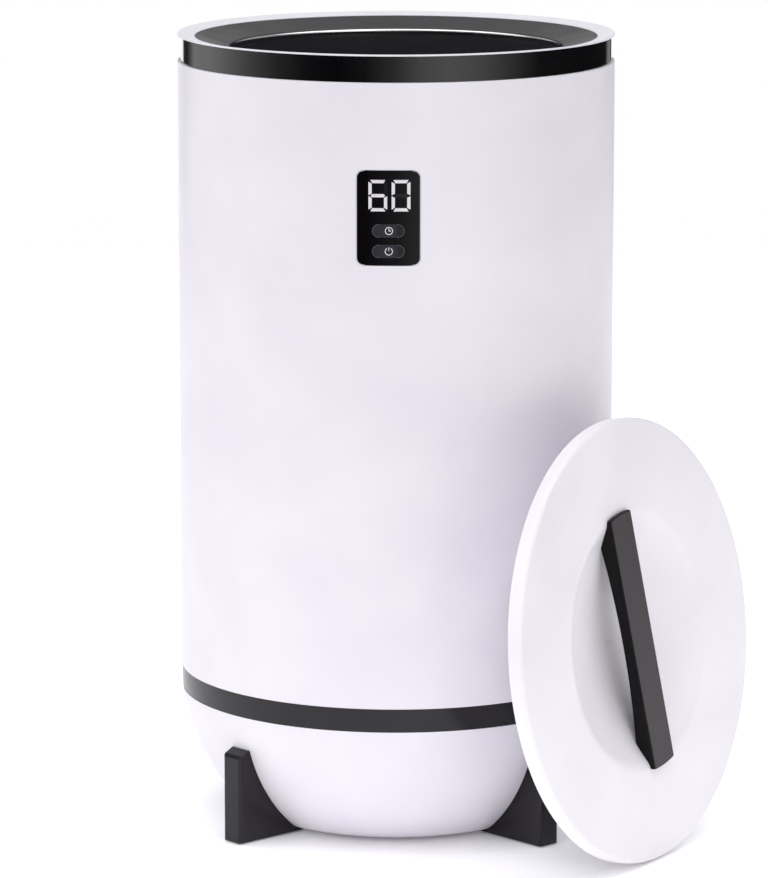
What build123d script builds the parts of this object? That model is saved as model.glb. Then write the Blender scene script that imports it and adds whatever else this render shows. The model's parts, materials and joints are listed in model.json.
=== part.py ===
from build123d import *
import os
from math import acos, atan2, cos, pi, radians, sin, sqrt, tan

# A towel warmer bucket: a heated pot inside a white plastic shell, on four black legs, with a
# lid that is taken off and leans on the wall. Millimetres. The bucket's axis is Z, the floor is
# z = 0 and the control panel faces -Y.

# Body
BODY_RADIUS = 145.0
BODY_HEIGHT = 528.0
UNDERSIDE = 1.5             # height of the bowl's flat underside above the floor
BOWL_TOP = 98.0             # where the straight wall turns into the bowl's curve
BOWL_CURVE = 120.0          # radius of that curve
BOWL_CORNER = 20.0          # radius between the curve and the flat underside
BOWL_WALL = 3.0
SHELL_WALL = 2.5
NECK_WALL = 2.0             # tongue of the bowl inside the shell
NECK_OVERLAP = 13.0         # how far the tongue reaches up inside the shell
SKIN_GAP = 0.1              # between two skins that slide into each other
PART_GAP = 0.3              # between two pieces that lie against each other

# Trim bands
LOWER_BAND_BOTTOM = 86.0
LOWER_BAND_HEIGHT = 15.6
LOWER_BAND_INSET = 0.3
UPPER_BAND_HEIGHT = 16.8
UPPER_BAND_INSET = 2.0
UPPER_BAND_WALL = 1.8
EDGE_ROUND = 0.4

# Rim and collar
RIM_LIP = 1.3               # thickness of the white edge over the black band
RIM_DIP = 2.1               # how far the rim slopes down from its outer to its inner edge
RIM_PLATE = 2.4
RIM_INNER_RADIUS = 133.5
RIM_NECK_WALL = 2.2
RIM_NECK_DEPTH = 28.0
COLLAR_WALL = 2.2
COLLAR_DROP = 8.4           # from the rim's top to the pot's mouth
COLLAR_LIP_ROUND = 1.2
COLLAR_STEP = 0.3           # the collar's outer edge lies this far below the rim's inner edge
COLLAR_GAP = 0.3
COLLAR_MOUTH_STEP = 0.6     # how much wider the collar's mouth is than the pot

# Pot and what holds it
POT_RADIUS = 110.0          # inside
POT_WALL = 1.0
POT_FLOOR = 112.0           # height of the pot's own floor above the ground
POT_CORNER = 8.0
POT_FLANGE_DROP = 14.0      # from the rim's top to the flange's top face
SHIELD_WALL = 1.2
SHIELD_RADIUS = 134.0
POST_CIRCLE = 100.0
POST_RADIUS = 4.5
POST_ANGLE = 15.0
SPACER_CIRCLE = 82.0
SPACER_RADIUS = 6.0
SPACER_HEIGHT = 17.8        # from the heat shield to the pot's underside
POT_SCREWS = 6

# Heaters and insulation
HEATER_MAT_WALL = 1.5
HEATER_MAT_RISE = 58.0      # from the pot's floor to the mat's lower edge
HEATER_MAT_DROP = 84.0      # from the pot's flange to the mat's upper edge
HEATER_MAT_SEAM = 14.0      # degrees left open at the back
BASE_HEATER_RADIUS = 66.0
BASE_HEATER_BORE = 22.0
BASE_HEATER_WALL = 3.2
JACKET_RADIUS = 128.0       # outside
JACKET_WALL = 12.0
THERMOSTAT_RADIUS = 8.2
THERMOSTAT_HEIGHT = 8.0

# Control panel
PANEL_WIDTH = 41.0
PANEL_HEIGHT = 61.0
PANEL_CORNER = 4.7
PANEL_DROP = 104.5          # from the body's top to the panel's centre
PANEL_INSET = 0.3
PANEL_FLANGE = 2.0
PANEL_FLANGE_WALL = 1.2
PANEL_GAP = 0.3
HOUSING_WALL = 2.0
HOUSING_GAP = 0.5           # around the panel's flange
HOUSING_DEPTH = 17.0
HOUSING_SCREW_DROP = 41.0   # from the panel's centre to each screw
BOARD_DEPTH = 13.0          # from the body's face to the display board's front
BOARD_WALL = 1.6
BOARD_WIDTH = 38.0
BOARD_HEIGHT = 62.0
MODULE_WIDTH = 30.0
MODULE_HEIGHT = 25.0
MODULE_WALL = 8.0
TAB_HALF_WIDTH = 6.0
BUZZER_X = 12.5
BUZZER_RADIUS = 4.5
BUZZER_WALL = 4.5
BUZZER_VENT = 1.0

# Digits
DIGIT_RISE = 14.4           # from the panel's centre to the digits' centre
DIGIT_SHIFT = 0.7           # of both digits to the right of the panel's middle
DIGIT_WIDTH = 12.0
DIGIT_HEIGHT = 20.2
DIGIT_STROKE = 2.1
DIGIT_PITCH = 14.8
DIGIT_JOINT = 0.3
DIGIT_CORNER = 0.9
DIGIT_PROUD = 0.05
DIGIT_WALL = 1.5

# Buttons
BUTTON_WIDTH = 21.0
BUTTON_HEIGHT = 8.6
BUTTON_PROUD = 0.1          # over the body's radius
BUTTON_GAP = 0.3
BUTTON_FLANGE = 1.2
BUTTON_FLANGE_WALL = 1.5
TIMER_DROP = 8.2            # from the panel's centre to the upper key's centre
KEY_PITCH = 13.2            # between the keys' centres
BUTTON_TRAVEL = 0.6
STEM_RADIUS = 1.6
PLUNGER_RADIUS = 1.7
PLUNGER_LENGTH = 2.4
PLUNGER_MARGIN = 0.4        # of the plunger left outside the switch when pressed
SWITCH_SIZE = 6.2
SWITCH_WALL = 3.4
SWITCH_BORE_GAP = 0.3
SWITCH_FLOOR = 0.8

# Mains electronics in the bowl
MAIN_BOARD_HEIGHT = 36.0
MAIN_BOARD_LENGTH = 108.0
MAIN_BOARD_WIDTH = 78.0
MAIN_BOARD_INSET = 5.0      # from a board edge to a screw
TERMINAL_X = 36.0
TERMINAL_Y = 22.0
TERMINAL_LENGTH = 28.0
TERMINAL_WIDTH = 11.0
TERMINAL_WALL = 12.0
HEADER_X = -10.0
HEADER_Y = -32.0
HEADER_WALL = 7.0
LEAD_DIAMETER = 2.4
HARNESS_DIAMETER = 3.6

# Cord entry at the back
GLAND_HEIGHT = 130.0
GLAND_BORE = 3.6
GLAND_THREAD_RADIUS = 6.0
GLAND_FLANGE_RADIUS = 10.0
GLAND_FLANGE_WALL = 4.0
GLAND_NOSE_RADIUS = 7.0
GLAND_NOSE = 4.0
GLAND_TAIL = 11.0           # how far it reaches inward from the body's face
GLAND_NUT_RADIUS = 9.5
GLAND_NUT_WALL = 5.5

# Legs
LEG_REACH = 148.5           # outer face, from the axis
LEG_TIP = 92.0              # inner end, from the axis
LEG_WALL = 16.5
LEG_TOP = 63.0
LEG_SHOULDER = 58.0
LEG_TOP_RADIUS = 140.3
LEG_ROUND = 2.0
LEG_GAP = 0.1
LEG_ANGLES = {
    "leg_front_left": -135.0,
    "leg_front_right": -45.0,
    "leg_rear_right": 45.0,
    "leg_rear_left": 135.0,
}
PAD_WALL = 2.4
PAD_PROUD = 1.0
PAD_LENGTH = 34.0
PAD_WIDTH = 11.0
PAD_CENTRE = 126.0
PAD_GAP = 0.1
SIDE_SCREW_HEIGHT = 44.0
DOWN_SCREW_CIRCLE = 112.0
LEG_BOSS_RADIUS = 6.0
LEG_BOSS_DEPTH = 6.5        # how far a boss stands inside the bowl's wall

# Screws: shank radius, shank length, head radius, head height
BIG_SCREW = (2.0, 18.0, 3.8, 2.4)
MID_SCREW = (1.5, 7.0, 2.8, 2.0)
LID_SCREW = (1.5, 5.0, 2.8, 1.6)
SMALL_SCREW = (1.1, 4.5, 2.1, 1.4)
THREAD_GAP = 0.05
HOLE_GAP = 0.25

# Lid, in its own frame: its outer face is w = 0 and it is closed along -w
LID_RADIUS = BODY_RADIUS
LID_THICKNESS = 10.0
LID_SKIN = 2.4
LID_ROUND = 3.0
LID_BACK_ROUND = 1.0
DISH_RADIUS = 87.0
DISH_ROUND = 14.0
DISH_SLOPE = 30.0           # degrees, where the edge's round meets the hollow
PLUG_RADIUS = 106.0         # at the back of the rim
PLUG_SHOULDER_RADIUS = 105.0
PLUG_SHOULDER_DEPTH = 18.0  # from there to the tip the plug is a cone
PLUG_TIP_RADIUS = 62.5
PLUG_DEPTH = 42.0
PLUG_ROUND = 3.0
PLUG_WALL = 2.2
LINER_FLANGE = 2.0
LINER_GAP = 0.2
GASKET_RADIUS = 137.0
GASKET_WIDTH = 5.0
GASKET_WALL = 2.0
GASKET_PROUD = 1.0
LID_SCREW_CIRCLE = 122.0
LID_SCREWS = 6
LID_BOSS_RADIUS = 4.0
LID_FOAM_GAP = 1.5
HANDLE_REACH = 86.0
HANDLE_WIDTH = 26.5
HANDLE_PROUD = 3.0
HANDLE_WALL = 10.8
HANDLE_ARCH = 3.5           # rise of the bar's underside at its middle
HANDLE_ARCH_REACH = 66.0    # from the middle to where the arch begins
HANDLE_CORNER = 1.5
HANDLE_ROUND = 0.7
HANDLE_GAP = 0.1
HANDLE_TURN = 8.5           # degrees about the lid's axis
HANDLE_SCREW_REACH = 74.0
HANDLE_SEAT_DROP = 12.0     # from the lid's face to the screw heads
HANDLE_SCREW = (1.75, 12.0, 3.4, 2.2)

# The lid at rest
LID_FACING = 59.15          # degrees from -Y towards +X
LID_LEAN = 7.0              # degrees
LID_SIDE_SHIFT = -24.8
LID_REST_GAP = 0.3

# Heights and radii that follow from the sizes above
LOWER_BAND_TOP = LOWER_BAND_BOTTOM + LOWER_BAND_HEIGHT
UPPER_BAND_TOP = BODY_HEIGHT - RIM_LIP
RIM_INNER_TOP = BODY_HEIGHT - RIM_DIP
SHELL_TOP = UPPER_BAND_TOP - UPPER_BAND_HEIGHT
BAND_RADIUS = BODY_RADIUS - UPPER_BAND_INSET
SHELL_INSIDE = BODY_RADIUS - SHELL_WALL
RIM_NECK_RADIUS = BAND_RADIUS - UPPER_BAND_WALL - SKIN_GAP
POT_FLANGE_TOP = BODY_HEIGHT - POT_FLANGE_DROP
POT_BOTTOM = POT_FLOOR - POT_WALL
POT_OUTSIDE = POT_RADIUS + POT_WALL
POT_FLANGE_RADIUS = RIM_NECK_RADIUS - RIM_NECK_WALL - 2 * SKIN_GAP
SHIELD_TOP = POT_BOTTOM - SPACER_HEIGHT
SHIELD_HEIGHT = SHIELD_TOP - SHIELD_WALL
HEATER_MAT_BOTTOM = POT_FLOOR + HEATER_MAT_RISE
HEATER_MAT_TOP = POT_FLANGE_TOP - HEATER_MAT_DROP
PANEL_CENTRE = BODY_HEIGHT - PANEL_DROP
DIGIT_CENTRE = PANEL_CENTRE + DIGIT_RISE
TIMER_HEIGHT = PANEL_CENTRE - TIMER_DROP
POWER_HEIGHT = TIMER_HEIGHT - KEY_PITCH
CURVE_CENTRE = BODY_RADIUS - BOWL_CURVE
PANEL_FACE = BODY_RADIUS - PANEL_INSET
PANEL_FLANGE_BACK = SHELL_INSIDE - SKIN_GAP - PANEL_FLANGE_WALL
BOARD_FRONT = BODY_RADIUS - BOARD_DEPTH
BOARD_BACK = BOARD_FRONT - BOARD_WALL
HOUSING_BACK = BODY_RADIUS - HOUSING_DEPTH
HOUSING_INNER_END = PANEL_HEIGHT / 2 + PANEL_FLANGE + HOUSING_GAP
TAB_FACE = BOARD_FRONT      # the housing's screw tabs lie level with the display board
TAB_FRONT = TAB_FACE + HOUSING_WALL
SWITCH_FACE = BOARD_FRONT + SWITCH_WALL
PLUNGER_FACE = SWITCH_FACE + BUTTON_TRAVEL + PLUNGER_MARGIN
MAIN_BOARD_TOP = MAIN_BOARD_HEIGHT + BOARD_WALL


# Basic solids

def tube(inner, outer, low, high):
    """Ring about Z between two radii and two heights."""
    return Pos(0, 0, low) * extrude(Circle(outer) - Circle(inner), high - low)


def disc(radius, low, high):
    return Pos(0, 0, low) * extrude(Circle(radius), high - low)


def block(x, y, z):
    """Box between the low and high value given for each axis."""
    size = [span[1] - span[0] for span in (x, y, z)]
    middle = [(span[0] + span[1]) / 2 for span in (x, y, z)]
    return Pos(*middle) * Box(*size)


def turned(*edges):
    """Solid of revolution about Z of a closed outline given as (radius, height) edges."""
    return revolve(Plane.XZ * make_face(edges), Axis.Z)


def arc(centre, radius, start, end):
    """Arc about a centre from one angle to another, in radians."""
    def at(angle):
        return (centre[0] + radius * cos(angle), centre[1] + radius * sin(angle))
    return ThreePointArc(at(start), at((start + end) / 2), at(end))


def rod(start, direction, radius, length):
    """Cylinder from a point along a direction."""
    return Plane(origin=start, z_dir=direction) * extrude(Circle(radius), length)


def toward_front(sketch, near, far):
    """Prism of a front-view sketch, from near to far in front of the axis."""
    return Pos(0, -near, 0) * extrude(Plane.XZ * sketch, far - near)


def spread(count, solid, start=0.0):
    """Copies of a solid at equal turns about Z."""
    return [Rot(0, 0, start + 360 * step / count) * solid for step in range(count)]


def group(pieces):
    """One node of several separate solids."""
    return Compound([solid for piece in pieces for solid in piece.solids()])


def outer_circles(solid):
    """The circular edges on the body's own radius."""
    circles = solid.edges().filter_by(GeomType.CIRCLE)
    return circles.filter_by(lambda edge: edge.radius > BODY_RADIUS - SKIN_GAP)


def joined(first, others):
    for other in others:
        first = first + other
    return first


def cut(first, others):
    for other in others:
        first = first - other
    return first


# Screws

def screw(seat, drive, size):
    """A screw whose head rests on the seat and whose shank points along drive."""
    shank_radius, length, head_radius, head_height = size
    head = Pos(0, 0, -head_height) * extrude(Circle(head_radius), head_height)
    slot = Pos(0, 0, -head_height) * Box(head_radius * 1.2, head_radius * 0.25, head_height * 0.8)
    shank = extrude(Circle(shank_radius), length)
    return Plane(origin=seat, z_dir=drive) * (head - slot + shank)


def clear_hole(seat, drive, size, depth):
    """Room for the shank of a screw, from its seat to a depth."""
    return rod(seat, drive, size[0] + HOLE_GAP, depth)


def thread_hole(seat, drive, size):
    return rod(seat, drive, size[0] + THREAD_GAP, size[1] + THREAD_GAP)


# Wires

def wire_run(points, diameter):
    """A wire along straight runs joined by arcs as large as the runs allow."""
    radii = []
    corners = [Vector(*point) for point in points]
    for before, corner, after in zip(corners, corners[1:], corners[2:]):
        shorter = min((corner - before).length, (after - corner).length)
        half_turn = radians((corner - before).get_angle(after - corner)) / 2
        radii.append(0.45 * shorter / tan(half_turn))
    path = FilletPolyline(*points, radius=radii)
    start = Plane(origin=corners[0], z_dir=corners[1] - corners[0])
    solid = sweep(start * Circle(diameter / 2), path=path)
    ratio = solid.volume / (pi * diameter ** 2 / 4 * path.length)
    print("wire volume ratio", round(ratio, 4), "bend radii", [round(radius, 1) for radius in radii])
    return solid


# Bucket

def vessel(inset):
    """The bucket's whole outside, filled, moved inward by an inset."""
    flat_z = UNDERSIDE + inset
    rise = BOWL_TOP - UNDERSIDE - BOWL_CORNER
    span = BOWL_CURVE - BOWL_CORNER
    corner_r = CURVE_CENTRE + sqrt(span ** 2 - rise ** 2)
    corner_centre = (corner_r, UNDERSIDE + BOWL_CORNER)
    joint = -acos((corner_r - CURVE_CENTRE) / span)
    wall = BODY_RADIUS - inset
    return turned(
        Line((0, flat_z), (corner_r, flat_z)),
        arc(corner_centre, BOWL_CORNER - inset, -pi / 2, joint),
        arc((CURVE_CENTRE, BOWL_TOP), BOWL_CURVE - inset, joint, 0),
        Line((wall, BOWL_TOP), (wall, BODY_HEIGHT)),
        Line((wall, BODY_HEIGHT), (0, BODY_HEIGHT)),
        Line((0, BODY_HEIGHT), (0, flat_z)),
    )


def skin(outside, inside, low, high):
    """The part of the bucket's wall between two insets and two heights."""
    return (vessel(outside) - vessel(inside)) & disc(BODY_RADIUS, low, high)


def bowl_radius(height, inset=0.0):
    """Radius of the bowl's curve at a height, moved inward by an inset."""
    drop = BOWL_TOP - height
    if drop <= 0:
        return BODY_RADIUS - inset
    return CURVE_CENTRE + sqrt((BOWL_CURVE - inset) ** 2 - drop ** 2)


def bowl_height(radius, inset=0.0):
    """Height of the bowl's curve at a radius, moved inward by an inset."""
    return BOWL_TOP - sqrt((BOWL_CURVE - inset) ** 2 - (radius - CURVE_CENTRE) ** 2)


def leg_screw_places():
    """Seat and drive of the two screws of a leg, for a leg that points along +X."""
    side_seat = bowl_radius(SIDE_SCREW_HEIGHT, BOWL_WALL) - LEG_BOSS_DEPTH
    down_seat = bowl_height(DOWN_SCREW_CIRCLE, BOWL_WALL) + LEG_BOSS_DEPTH
    side = ((side_seat, 0, SIDE_SCREW_HEIGHT), (1, 0, 0))
    down = ((DOWN_SCREW_CIRCLE, 0, down_seat), (0, 0, -1))
    return [side, down]


def post_angles():
    return [POST_ANGLE + 90 * step for step in range(4)]


def board_screw_points():
    x = MAIN_BOARD_LENGTH / 2 - MAIN_BOARD_INSET
    y = MAIN_BOARD_WIDTH / 2 - MAIN_BOARD_INSET
    return [(x, y), (-x, y), (-x, -y), (x, -y)]


def base_bowl():
    bowl = skin(0, BOWL_WALL, UNDERSIDE, LOWER_BAND_BOTTOM)
    neck_low = LOWER_BAND_BOTTOM - 3 * BOWL_WALL
    neck_outside = SHELL_WALL + SKIN_GAP
    bowl = bowl + skin(neck_outside, neck_outside + NECK_WALL, neck_low, LOWER_BAND_TOP + NECK_OVERLAP)
    inside = vessel(BOWL_WALL / 2)
    post = Pos(POST_CIRCLE, 0, 0) * disc(POST_RADIUS, 0, SHIELD_HEIGHT)
    posts = [Rot(0, 0, angle) * post for angle in post_angles()]
    stands = [Pos(x, y, 0) * disc(POST_RADIUS, 0, MAIN_BOARD_HEIGHT) for x, y in board_screw_points()]
    bosses = []
    for angle in LEG_ANGLES.values():
        for seat, drive in leg_screw_places():
            boss = rod(seat, drive, LEG_BOSS_RADIUS, LEG_BOSS_DEPTH + BOWL_WALL * 3)
            bosses.append(Rot(0, 0, angle) * boss)
    bowl = joined(bowl, [piece & inside for piece in posts + stands + bosses])
    holes = []
    for angle in LEG_ANGLES.values():
        for seat, drive in leg_screw_places():
            holes.append(Rot(0, 0, angle) * clear_hole(seat, drive, BIG_SCREW, 2 * BIG_SCREW[1]))
    for angle in post_angles():
        holes.append(Rot(0, 0, angle) * thread_hole((POST_CIRCLE, 0, SHIELD_TOP), (0, 0, -1), MID_SCREW))
    for x, y in board_screw_points():
        holes.append(thread_hole((x, y, MAIN_BOARD_TOP), (0, 0, -1), MID_SCREW))
    return cut(bowl, holes)


def leg(angle):
    base = PAD_PROUD
    outline = [(LEG_TIP, base), (LEG_REACH, base), (LEG_REACH, LEG_SHOULDER)]
    outline += [(LEG_REACH - LEG_ROUND, LEG_SHOULDER + LEG_ROUND), (LEG_TOP_RADIUS, LEG_TOP)]
    outline += [(LEG_TIP, LEG_TOP)]
    plate = Plane.XZ * make_face(Polyline(*outline, close=True))
    plate = Pos(0, LEG_WALL / 2, 0) * extrude(plate, LEG_WALL)
    outer_edges = [edge for edge in plate.edges().filter_by(Axis.Z) if edge.center().X > LEG_REACH - 1]
    plate = fillet(outer_edges, LEG_ROUND)
    plate = plate - vessel(-LEG_GAP)
    plate = plate - foot_pocket(PAD_GAP)
    holes = [thread_hole(seat, drive, BIG_SCREW) for seat, drive in leg_screw_places()]
    return Rot(0, 0, angle) * cut(plate, holes)


def foot_pocket(gap):
    """Pocket for a foot pad when gap is over 0, and the pad itself when it is 0."""
    outline = SlotOverall(PAD_LENGTH + 2 * gap, PAD_WIDTH + 2 * gap)
    return Pos(PAD_CENTRE, 0, 0) * extrude(outline, PAD_WALL)


def foot_pads():
    return group([Rot(0, 0, angle) * foot_pocket(0) for angle in LEG_ANGLES.values()])


def leg_screws():
    screws = []
    for angle in LEG_ANGLES.values():
        screws += [Rot(0, 0, angle) * screw(seat, drive, BIG_SCREW) for seat, drive in leg_screw_places()]
    return group(screws)


def lower_trim_band():
    return skin(LOWER_BAND_INSET, SHELL_WALL, LOWER_BAND_BOTTOM, LOWER_BAND_TOP)


def upper_trim_band():
    return tube(BAND_RADIUS - UPPER_BAND_WALL, BAND_RADIUS, SHELL_TOP, UPPER_BAND_TOP)


def panel_outline(growth):
    corner = PANEL_CORNER + growth
    outline = RectangleRounded(PANEL_WIDTH + 2 * growth, PANEL_HEIGHT + 2 * growth, corner)
    return Pos(0, PANEL_CENTRE) * outline


def gland_cylinder(radius, near, far):
    """Cylinder along +Y at the cord entry, from near to far behind the axis."""
    return rod((0, near, GLAND_HEIGHT), (0, 1, 0), radius, far - near)


def housing_screw_heights():
    return [PANEL_CENTRE + HOUSING_SCREW_DROP, PANEL_CENTRE - HOUSING_SCREW_DROP]


def outer_shell():
    shell = tube(SHELL_INSIDE, BODY_RADIUS, LOWER_BAND_TOP, SHELL_TOP)
    shell = fillet(outer_circles(shell), EDGE_ROUND)
    inside = disc(SHELL_INSIDE + SHELL_WALL / 2, LOWER_BAND_TOP, SHELL_TOP)
    for height in housing_screw_heights():
        boss = rod((0, -TAB_FRONT, height), (0, -1, 0), POST_RADIUS, BODY_RADIUS - TAB_FRONT)
        shell = shell + (boss & inside)
        shell = shell - thread_hole((0, -TAB_FACE, height), (0, -1, 0), MID_SCREW)
    shell = shell - toward_front(panel_outline(PANEL_GAP), TAB_FRONT, BODY_RADIUS + 1)
    return shell - gland_cylinder(GLAND_THREAD_RADIUS + HOLE_GAP, TAB_FRONT, BODY_RADIUS + 1)


def rim_screw_circle():
    return (RIM_INNER_RADIUS + POT_FLANGE_RADIUS) / 2


def rim_plate():
    """The rim's top wall, which slopes down from its outer edge to its inner edge."""
    under = RIM_INNER_TOP - RIM_PLATE
    plate = turned(
        Line((RIM_INNER_RADIUS, under), (RIM_INNER_RADIUS, RIM_INNER_TOP)),
        Line((RIM_INNER_RADIUS, RIM_INNER_TOP), (BODY_RADIUS, BODY_HEIGHT)),
        Line((BODY_RADIUS, BODY_HEIGHT), (BODY_RADIUS, UPPER_BAND_TOP)),
        Line((BODY_RADIUS, UPPER_BAND_TOP), (RIM_NECK_RADIUS, UPPER_BAND_TOP)),
        Line((RIM_NECK_RADIUS, UPPER_BAND_TOP), (RIM_NECK_RADIUS, under)),
        Line((RIM_NECK_RADIUS, under), (RIM_INNER_RADIUS, under)),
    )
    return fillet(outer_circles(plate), EDGE_ROUND)


def rim_ring():
    neck_low = BODY_HEIGHT - RIM_NECK_DEPTH
    neck_high = RIM_INNER_TOP - RIM_PLATE / 2
    neck = tube(RIM_NECK_RADIUS - RIM_NECK_WALL, RIM_NECK_RADIUS, neck_low, neck_high)
    ledge = tube(RIM_NECK_RADIUS - 1, SHELL_INSIDE - SKIN_GAP, neck_low, SHELL_TOP - SKIN_GAP)
    boss_radius = MID_SCREW[0] + 1.2
    boss = Pos(rim_screw_circle(), 0, 0) * disc(boss_radius, POT_FLANGE_TOP, neck_high)
    ring = joined(neck, [rim_plate(), ledge] + spread(POT_SCREWS, boss))
    hole = thread_hole((rim_screw_circle(), 0, POT_FLANGE_TOP - POT_WALL), (0, 0, 1), MID_SCREW)
    return cut(ring, spread(POT_SCREWS, hole))


def pot_collar():
    """The dark ring that slopes from the rim down to the pot's mouth, standing on the flange."""
    high = RIM_INNER_TOP - COLLAR_STEP
    low = BODY_HEIGHT - COLLAR_DROP
    outside = RIM_INNER_RADIUS - COLLAR_GAP
    mouth = POT_RADIUS + COLLAR_MOUTH_STEP
    shoulder = mouth + COLLAR_LIP_ROUND
    slope = (high - low) / (outside - shoulder)
    inner_leg = mouth + COLLAR_WALL
    outer_leg = outside - COLLAR_WALL
    under = low - COLLAR_WALL
    return turned(
        Line((outside, POT_FLANGE_TOP), (outside, high)),
        Line((outside, high), (shoulder, low)),
        arc((shoulder, low - COLLAR_LIP_ROUND), COLLAR_LIP_ROUND, pi / 2, pi),
        Line((mouth, low - COLLAR_LIP_ROUND), (mouth, POT_FLANGE_TOP)),
        Line((mouth, POT_FLANGE_TOP), (inner_leg, POT_FLANGE_TOP)),
        Line((inner_leg, POT_FLANGE_TOP), (inner_leg, under)),
        Line((inner_leg, under), (outer_leg, under + slope * (outer_leg - inner_leg))),
        Line((outer_leg, under + slope * (outer_leg - inner_leg)), (outer_leg, POT_FLANGE_TOP)),
        Line((outer_leg, POT_FLANGE_TOP), (outside, POT_FLANGE_TOP)),
    )


def inner_pot():
    corner_in = POT_RADIUS - POT_CORNER
    corner_height = POT_FLOOR + POT_CORNER
    under = POT_FLANGE_TOP - POT_WALL
    pot = turned(
        Line((0, POT_FLOOR), (corner_in, POT_FLOOR)),
        arc((corner_in, corner_height), POT_CORNER, -pi / 2, 0),
        Line((POT_RADIUS, corner_height), (POT_RADIUS, POT_FLANGE_TOP)),
        Line((POT_RADIUS, POT_FLANGE_TOP), (POT_FLANGE_RADIUS, POT_FLANGE_TOP)),
        Line((POT_FLANGE_RADIUS, POT_FLANGE_TOP), (POT_FLANGE_RADIUS, under)),
        Line((POT_FLANGE_RADIUS, under), (POT_OUTSIDE, under)),
        Line((POT_OUTSIDE, under), (POT_OUTSIDE, corner_height)),
        arc((corner_in, corner_height), POT_CORNER + POT_WALL, 0, -pi / 2),
        Line((corner_in, POT_BOTTOM), (0, POT_BOTTOM)),
        Line((0, POT_BOTTOM), (0, POT_FLOOR)),
    )
    hole = clear_hole((rim_screw_circle(), 0, under), (0, 0, 1), MID_SCREW, POT_WALL)
    return cut(pot, spread(POT_SCREWS, hole))


def pot_screws():
    seat = (rim_screw_circle(), 0, POT_FLANGE_TOP - POT_WALL)
    return group(spread(POT_SCREWS, screw(seat, (0, 0, 1), MID_SCREW)))


# Inside the wall

def lead_circle():
    """Radius at which the mat's leads climb between the pot and the jacket."""
    return POT_OUTSIDE + SKIN_GAP + HEATER_MAT_WALL + LEAD_DIAMETER / 2


def side_heater():
    inner = POT_OUTSIDE + SKIN_GAP
    mat = tube(inner, inner + HEATER_MAT_WALL, HEATER_MAT_BOTTOM, HEATER_MAT_TOP)
    half = 1.2 * POT_OUTSIDE * tan(radians(HEATER_MAT_SEAM / 2))
    seam = make_face(Polyline((0, 0), (1.2 * POT_OUTSIDE, half), (1.2 * POT_OUTSIDE, -half), close=True))
    slot = Pos(0, 0, HEATER_MAT_BOTTOM - 1) * extrude(seam, HEATER_MAT_TOP - HEATER_MAT_BOTTOM + 2)
    mat = mat - Rot(0, 0, 120) * slot
    outer = inner + HEATER_MAT_WALL + LEAD_DIAMETER
    tab = tube(inner + HEATER_MAT_WALL / 2, outer, HEATER_MAT_BOTTOM, HEATER_MAT_BOTTOM + 5 * LEAD_DIAMETER)
    tab_side = 3 * LEAD_DIAMETER
    return mat + (tab & block((-tab_side, tab_side), (0, 2 * outer), (0, BODY_HEIGHT)))


def base_heater():
    return tube(BASE_HEATER_BORE, BASE_HEATER_RADIUS, POT_BOTTOM - BASE_HEATER_WALL, POT_BOTTOM)


def spacer_points():
    return [(SPACER_CIRCLE * cos(radians(a)), SPACER_CIRCLE * sin(radians(a))) for a in (45, 135, 225, 315)]


def pot_spacers():
    return group([Pos(x, y, 0) * disc(SPACER_RADIUS, SHIELD_TOP, POT_BOTTOM) for x, y in spacer_points()])


def base_lead_points():
    """Where the base heater's two leads stand."""
    x = (BASE_HEATER_RADIUS + BASE_HEATER_BORE) / 2
    return [(x, 2 * LEAD_DIAMETER), (x, -2 * LEAD_DIAMETER)]


def base_insulation():
    pad = disc(POT_RADIUS - POT_CORNER, SHIELD_TOP, POT_BOTTOM - BASE_HEATER_WALL - PART_GAP)
    holes = [Pos(x, y, 0) * disc(SPACER_RADIUS + 0.5, 0, BODY_HEIGHT) for x, y in spacer_points()]
    holes += [Pos(x, y, 0) * disc(LEAD_DIAMETER, 0, BODY_HEIGHT) for x, y in base_lead_points()]
    for angle in post_angles():
        holes.append(Rot(0, 0, angle) * Pos(POST_CIRCLE, 0, 0) * disc(MID_SCREW[2] + 0.5, 0, BODY_HEIGHT))
    holes.append(disc(BASE_HEATER_BORE, 0, BODY_HEIGHT))
    return cut(pad, holes)


def thermostat():
    low = POT_BOTTOM - THERMOSTAT_HEIGHT
    body = disc(THERMOSTAT_RADIUS, low, POT_BOTTOM)
    side = THERMOSTAT_RADIUS / 2
    tabs = [block((x - 0.4, x + 0.4), (-3, 3), (low - 6, low)) for x in (-side, side)]
    return joined(body, tabs)


def thermal_fuse():
    """A fuse in a clip under the pot, beside the thermostat."""
    clip = block((-6, 6), (-2.5, 2.5), (POT_BOTTOM - 5, POT_BOTTOM))
    body = rod((-9, 0, POT_BOTTOM - 2.5), (1, 0, 0), 1.6, 18)
    return Pos(0, (THERMOSTAT_RADIUS + BASE_HEATER_BORE) / 2, 0) * (clip + body)


def insulation_jacket():
    top = POT_FLANGE_TOP - POT_WALL - PART_GAP
    jacket = tube(JACKET_RADIUS - JACKET_WALL, JACKET_RADIUS, SHIELD_TOP, top)
    side = PANEL_WIDTH / 2 + PANEL_FLANGE + HOUSING_WALL + 5
    tall = HOUSING_SCREW_DROP + 10
    return jacket - block((-side, side), (-BODY_RADIUS, 0), (PANEL_CENTRE - tall, PANEL_CENTRE + tall))


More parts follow.
